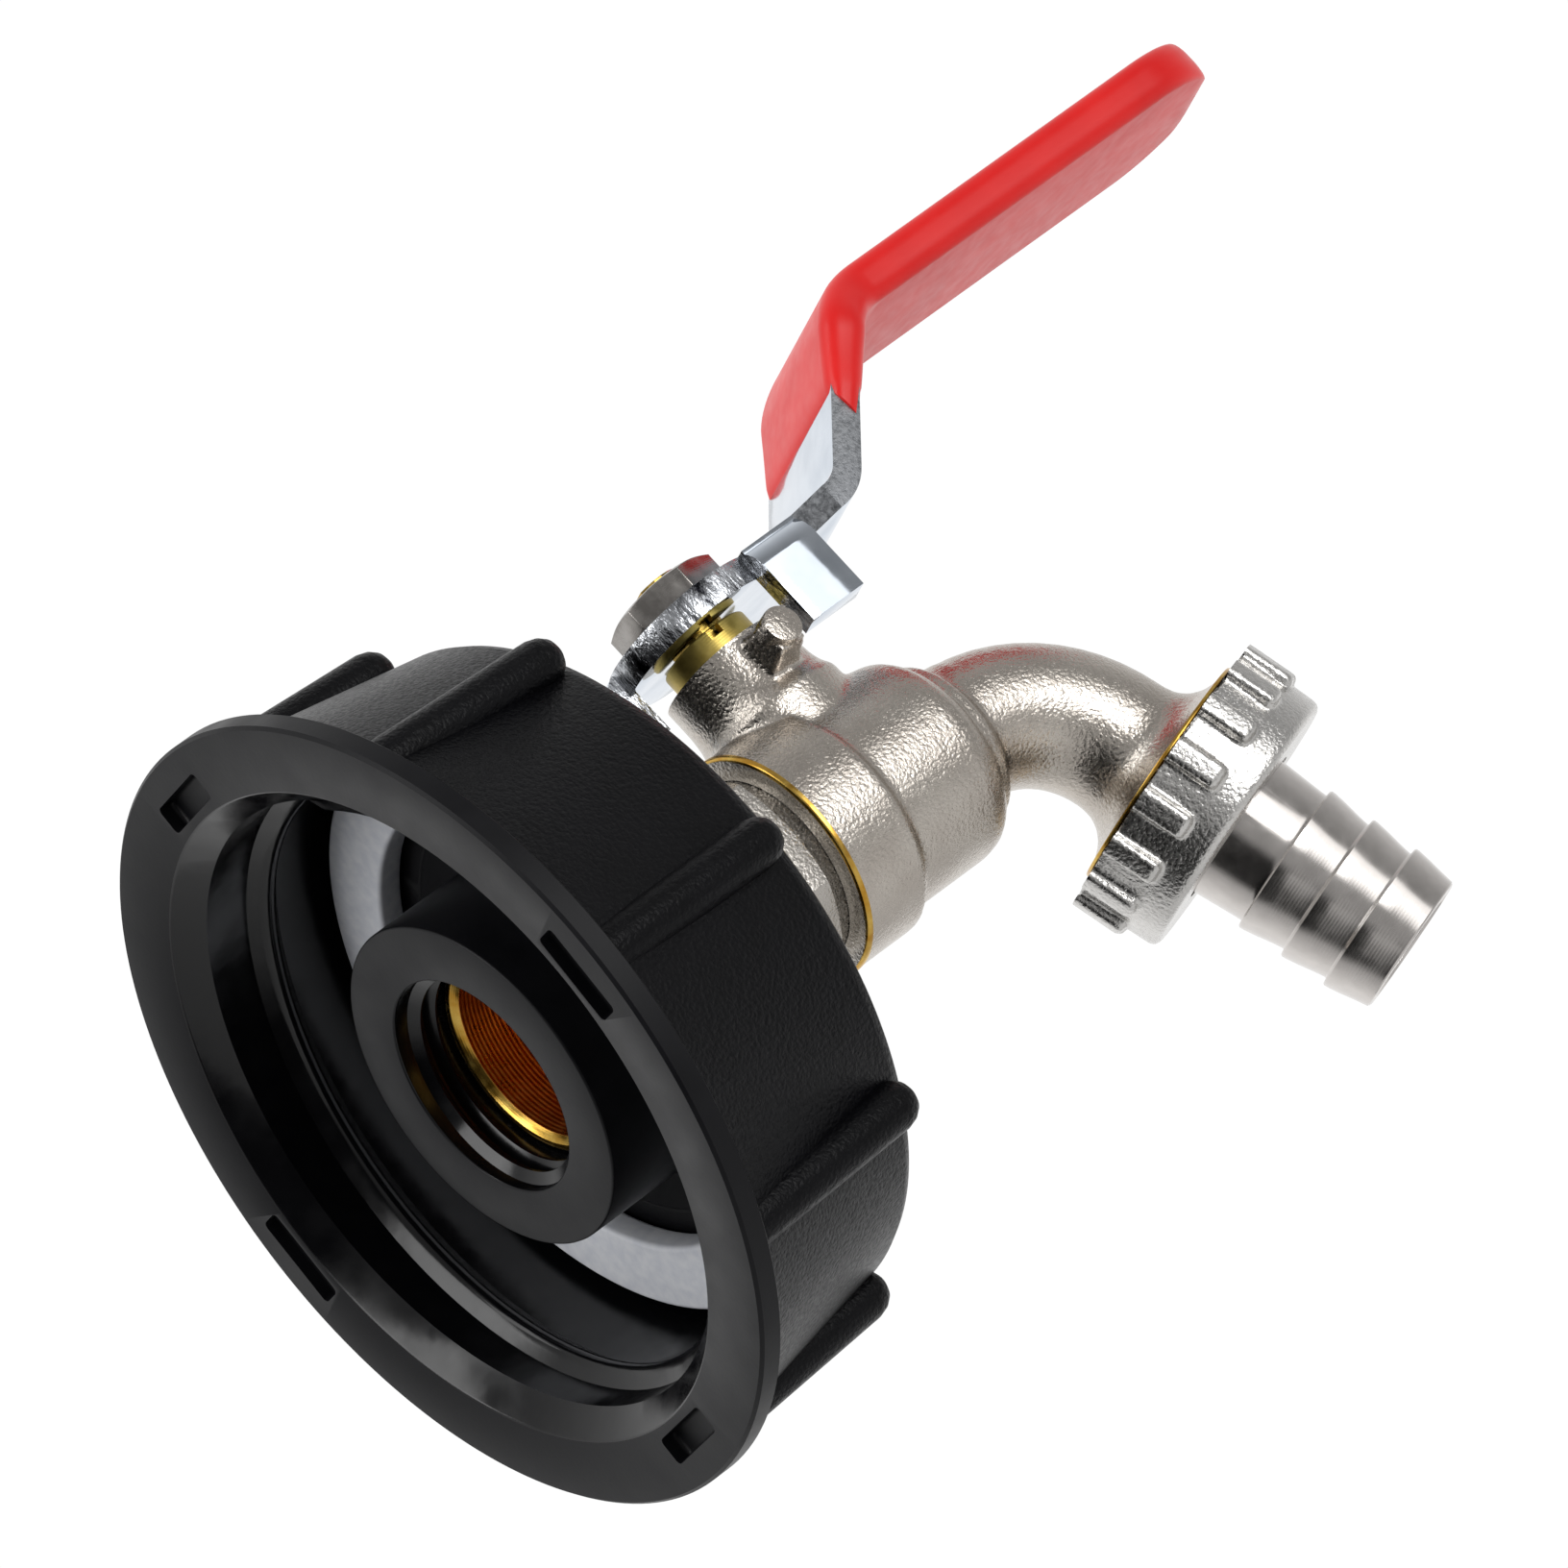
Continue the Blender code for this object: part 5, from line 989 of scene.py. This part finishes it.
finished(sleeve, "handle", "lever_sleeve", 50)

# %% [markdown]
# ## Lever nut
# An M6 nut, 10 mm across its flats, holds the lever on the stem. Its corners are turned down
# at both faces.

# %% Make the lever's nut
lever_nut = hexagon("nut_hexagon", 10.0, 23.1, 26.0, 4.7, 0.5)
merge(lever_nut, turned("nut_bore", [(22, 3.05), (27, 3.05)], 48), "DIFFERENCE")
bevel(lever_nut, 0.08, 2, 25)
put_on(lever_nut, "stem")
lever_nut.data.materials.append(plated_steel)
finished(lever_nut, "handle", "lever_nut", 30)

# %% [markdown]
# ## Union nut
# The union nut is cast, with sixteen soft grip bars round its back two thirds. Its turned body
# and the bars are joined and remeshed like the valve body, so that the bars flow into the
# wall. The flat faces and the bore are cut afterwards.

# %% Cast the union nut
GRIP_COUNT = 16
GRIP_RADIUS = 12.55
union = turned("union_casting", [
    (-0.6, 12.75), (0.1, 13.0), (7.3, 12.8), (7.75, 12.62), (8.0, 12.2), (8.0, 11.6),
], 160)
bars = []
for i in range(GRIP_COUNT):
    turn = 2 * math.pi / GRIP_COUNT * i
    bpy.ops.object.select_all(action="DESELECT")
    bpy.ops.mesh.primitive_cube_add(
        size=MM, location=(GRIP_RADIUS * math.cos(turn) * MM, GRIP_RADIUS * math.sin(turn) * MM, 2.05 * MM),
        rotation=(0, 0, turn), scale=(2.7, 2.4, 5.7),
    )
    bar = bpy.context.active_object
    bpy.ops.object.transform_apply(location=True, rotation=True, scale=True)
    bars.append(bevel(bar, 0.55, 3))
bpy.ops.object.select_all(action="DESELECT")
for part in [union] + bars:
    part.select_set(True)
bpy.context.view_layer.objects.active = union
bpy.ops.object.join()
union = bpy.context.active_object
apply(union, "REMESH", mode="VOXEL", voxel_size=0.2 * MM)
apply(union, "SMOOTH", factor=0.5, iterations=6)
print("union nut:", len(union.data.polygons), "faces after the remesh")

# %% Cut the union nut's faces and bore
slice_off(union, (0, 0, 0), (0, 0, -1))
merge(union, turned("bore", [(-1, 10.5), (6.5, 10.5), (6.5, 7.4), (9, 7.4)], 128), "DIFFERENCE")
put_on(union, "outlet")
union.data.materials.clear()
union.data.materials.append(union_nickel)
union.name = "union_casting"
finished(union, "union", "union_nut", 40)

# %% [markdown]
# ## Hose tail
# The tail is turned from bar and plated. Its collar sits under the union nut's lip, and three
# barbs whose sharp shoulders face the nut hold the hose.

# %% Turn the hose tail
NECK_END = 12.9
BARB_PITCH = 4.47
BARB_COUNT = 3
outline = [(4.8, 5.3), (4.8, 9.9), (5.0, 10.1), (5.8, 10.1), (6.0, 9.9), (6.0, 7.2), (6.3, 7.0)]
outline += [(12.2, 6.62), (12.7, 6.6)]
for i in range(BARB_COUNT):
    shoulder = NECK_END + BARB_PITCH * i
    outline += [(shoulder - 0.05, 6.66), (shoulder - 0.02, 7.1), (shoulder + 0.12, 7.2), (shoulder + 0.5, 7.18)]
    outline += [(shoulder + 1.6, 7.02), (shoulder + 3.2, 6.72), (shoulder + BARB_PITCH - 0.2, 6.56)]
outline += [(26.0, 6.53), (26.22, 6.42), (26.31, 6.2), (26.31, 5.5), (26.1, 5.3), (4.8, 5.3)]
tail = put_on(turned("tail_barbs", outline, 160), "outlet")
tail.data.materials.append(tail_nickel)
finished(tail, "tail", "hose_tail", 30)

# %% [markdown]
# ## Pieces kept from the solid model
# The ball, its seats, the stem and the small seals stay as the solid model has them, because
# hardly anything of them shows. They still get their real finishes.

# %% Dress the kept pieces
KEPT = {
    "seat_inlet": white_ptfe, "seat_outlet": white_ptfe, "stem_thrust_washer": white_ptfe, "stem_packing": white_ptfe,
    "ball": ball_chrome, "stem": stem_brass, "stem_o_ring": black_nitrile, "hose_gasket": black_nitrile,
}
for name, material in KEPT.items():
    slots = frame["nodes"][name].data.materials
    for i in range(len(slots)):
        slots[i] = material
print("kept:", ", ".join(KEPT))

# %% [markdown]
# ## Light and floor
# The picture has a white background and soft light from above. What the camera sees straight
# is plain white, from every side. What the metal mirrors is another matter: the world dims
# towards the sides and has one dark patch, which draws the dark band along the hose tail. Four
# square lamps add the highlights, and the bigger they are, the softer these get.

# %% Set the light
scene = bpy.context.scene
scene.view_settings.view_transform = "Standard"
world = bpy.data.worlds.new("studio")
scene.world = world
world.use_nodes = True
tree = world.node_tree
ray = add(tree, "ShaderNodeTexCoord").outputs["Generated"]
DARK_SIDE = (-0.378 * CAMERA_RIGHT + 0.552 * CAMERA_DOWN - 0.743 * CAMERA_FORWARD).normalized()
DIM_SIDE = (0.45 * CAMERA_RIGHT - 0.85 * CAMERA_DOWN + 0.3 * CAMERA_FORWARD).normalized()


def facing(way, start, end, low, high):
    """Brightness that changes with the angle between a ray and a direction, between two cosines."""
    cosine = add(tree, "ShaderNodeVectorMath", {0: ray, 1: way}, operation="DOT_PRODUCT").outputs["Value"]
    sockets = {"Value": cosine, "From Min": start, "From Max": end, "To Min": low, "To Max": high}
    return add(tree, "ShaderNodeMapRange", sockets).outputs["Result"]


sides = facing(CAMERA_FORWARD, -0.35, 0.6, 0.35, 1.02)
dark = facing(DARK_SIDE, 0.79, 0.91, 1.0, 0.05)
dim = facing(DIM_SIDE, 0.45, 0.95, 1.0, 0.55)
both = add(tree, "ShaderNodeMath", {0: dark, 1: dim}, operation="MULTIPLY").outputs["Value"]
strength = add(tree, "ShaderNodeMath", {0: sides, 1: both}, operation="MULTIPLY").outputs["Value"]
seen = add(tree, "ShaderNodeLightPath").outputs["Is Camera Ray"]
shown = add(tree, "ShaderNodeMath", {0: strength, 1: seen}, operation="MAXIMUM").outputs["Value"]
tree.links.new(shown, tree.nodes["Background"].inputs["Strength"])
tree.nodes["Background"].inputs["Color"].default_value = (1, 1, 1, 1)


def soft_light(name, left, up, near, distance, size, power):
    """A square lamp placed by how far left of, above and towards the camera it stands."""
    lamp_data = bpy.data.lights.new(name, "AREA")
    lamp_data.size = size
    lamp_data.energy = power
    lamp = bpy.data.objects.new(name, lamp_data)
    scene.collection.objects.link(lamp)
    way = (-left * CAMERA_RIGHT - up * CAMERA_DOWN - near * CAMERA_FORWARD).normalized()
    centre = Vector((60, 0, 0)) * MM
    lamp.location = centre + way * distance
    lamp.rotation_euler = way.to_track_quat("Z", "Y").to_euler()
    return lamp


soft_light("key", -0.36, 0.54, 0.76, 0.9, 0.36, 2.2)
soft_light("sky", -0.42, 0.61, 0.67, 1.0, 0.8, 2.6)
soft_light("left", 0.8, 0.5, 0.35, 0.9, 0.4, 1.2)
soft_light("mouth", 0.9, -0.1, 0.42, 0.9, 0.5, 3.0)
print("lamps:", ", ".join(lamp.name for lamp in bpy.data.lights))

# %% Lay the floor
bpy.ops.mesh.primitive_plane_add(size=2.6, location=(0.06, 0, -0.9))
floor = bpy.context.active_object
floor.name = "floor"
pale_floor, tree, shader, place = finish("pale_studio_floor", "#e9e9e9", Roughness=0.9)
floor.data.materials.append(pale_floor)
print("floor:", pale_floor.name)
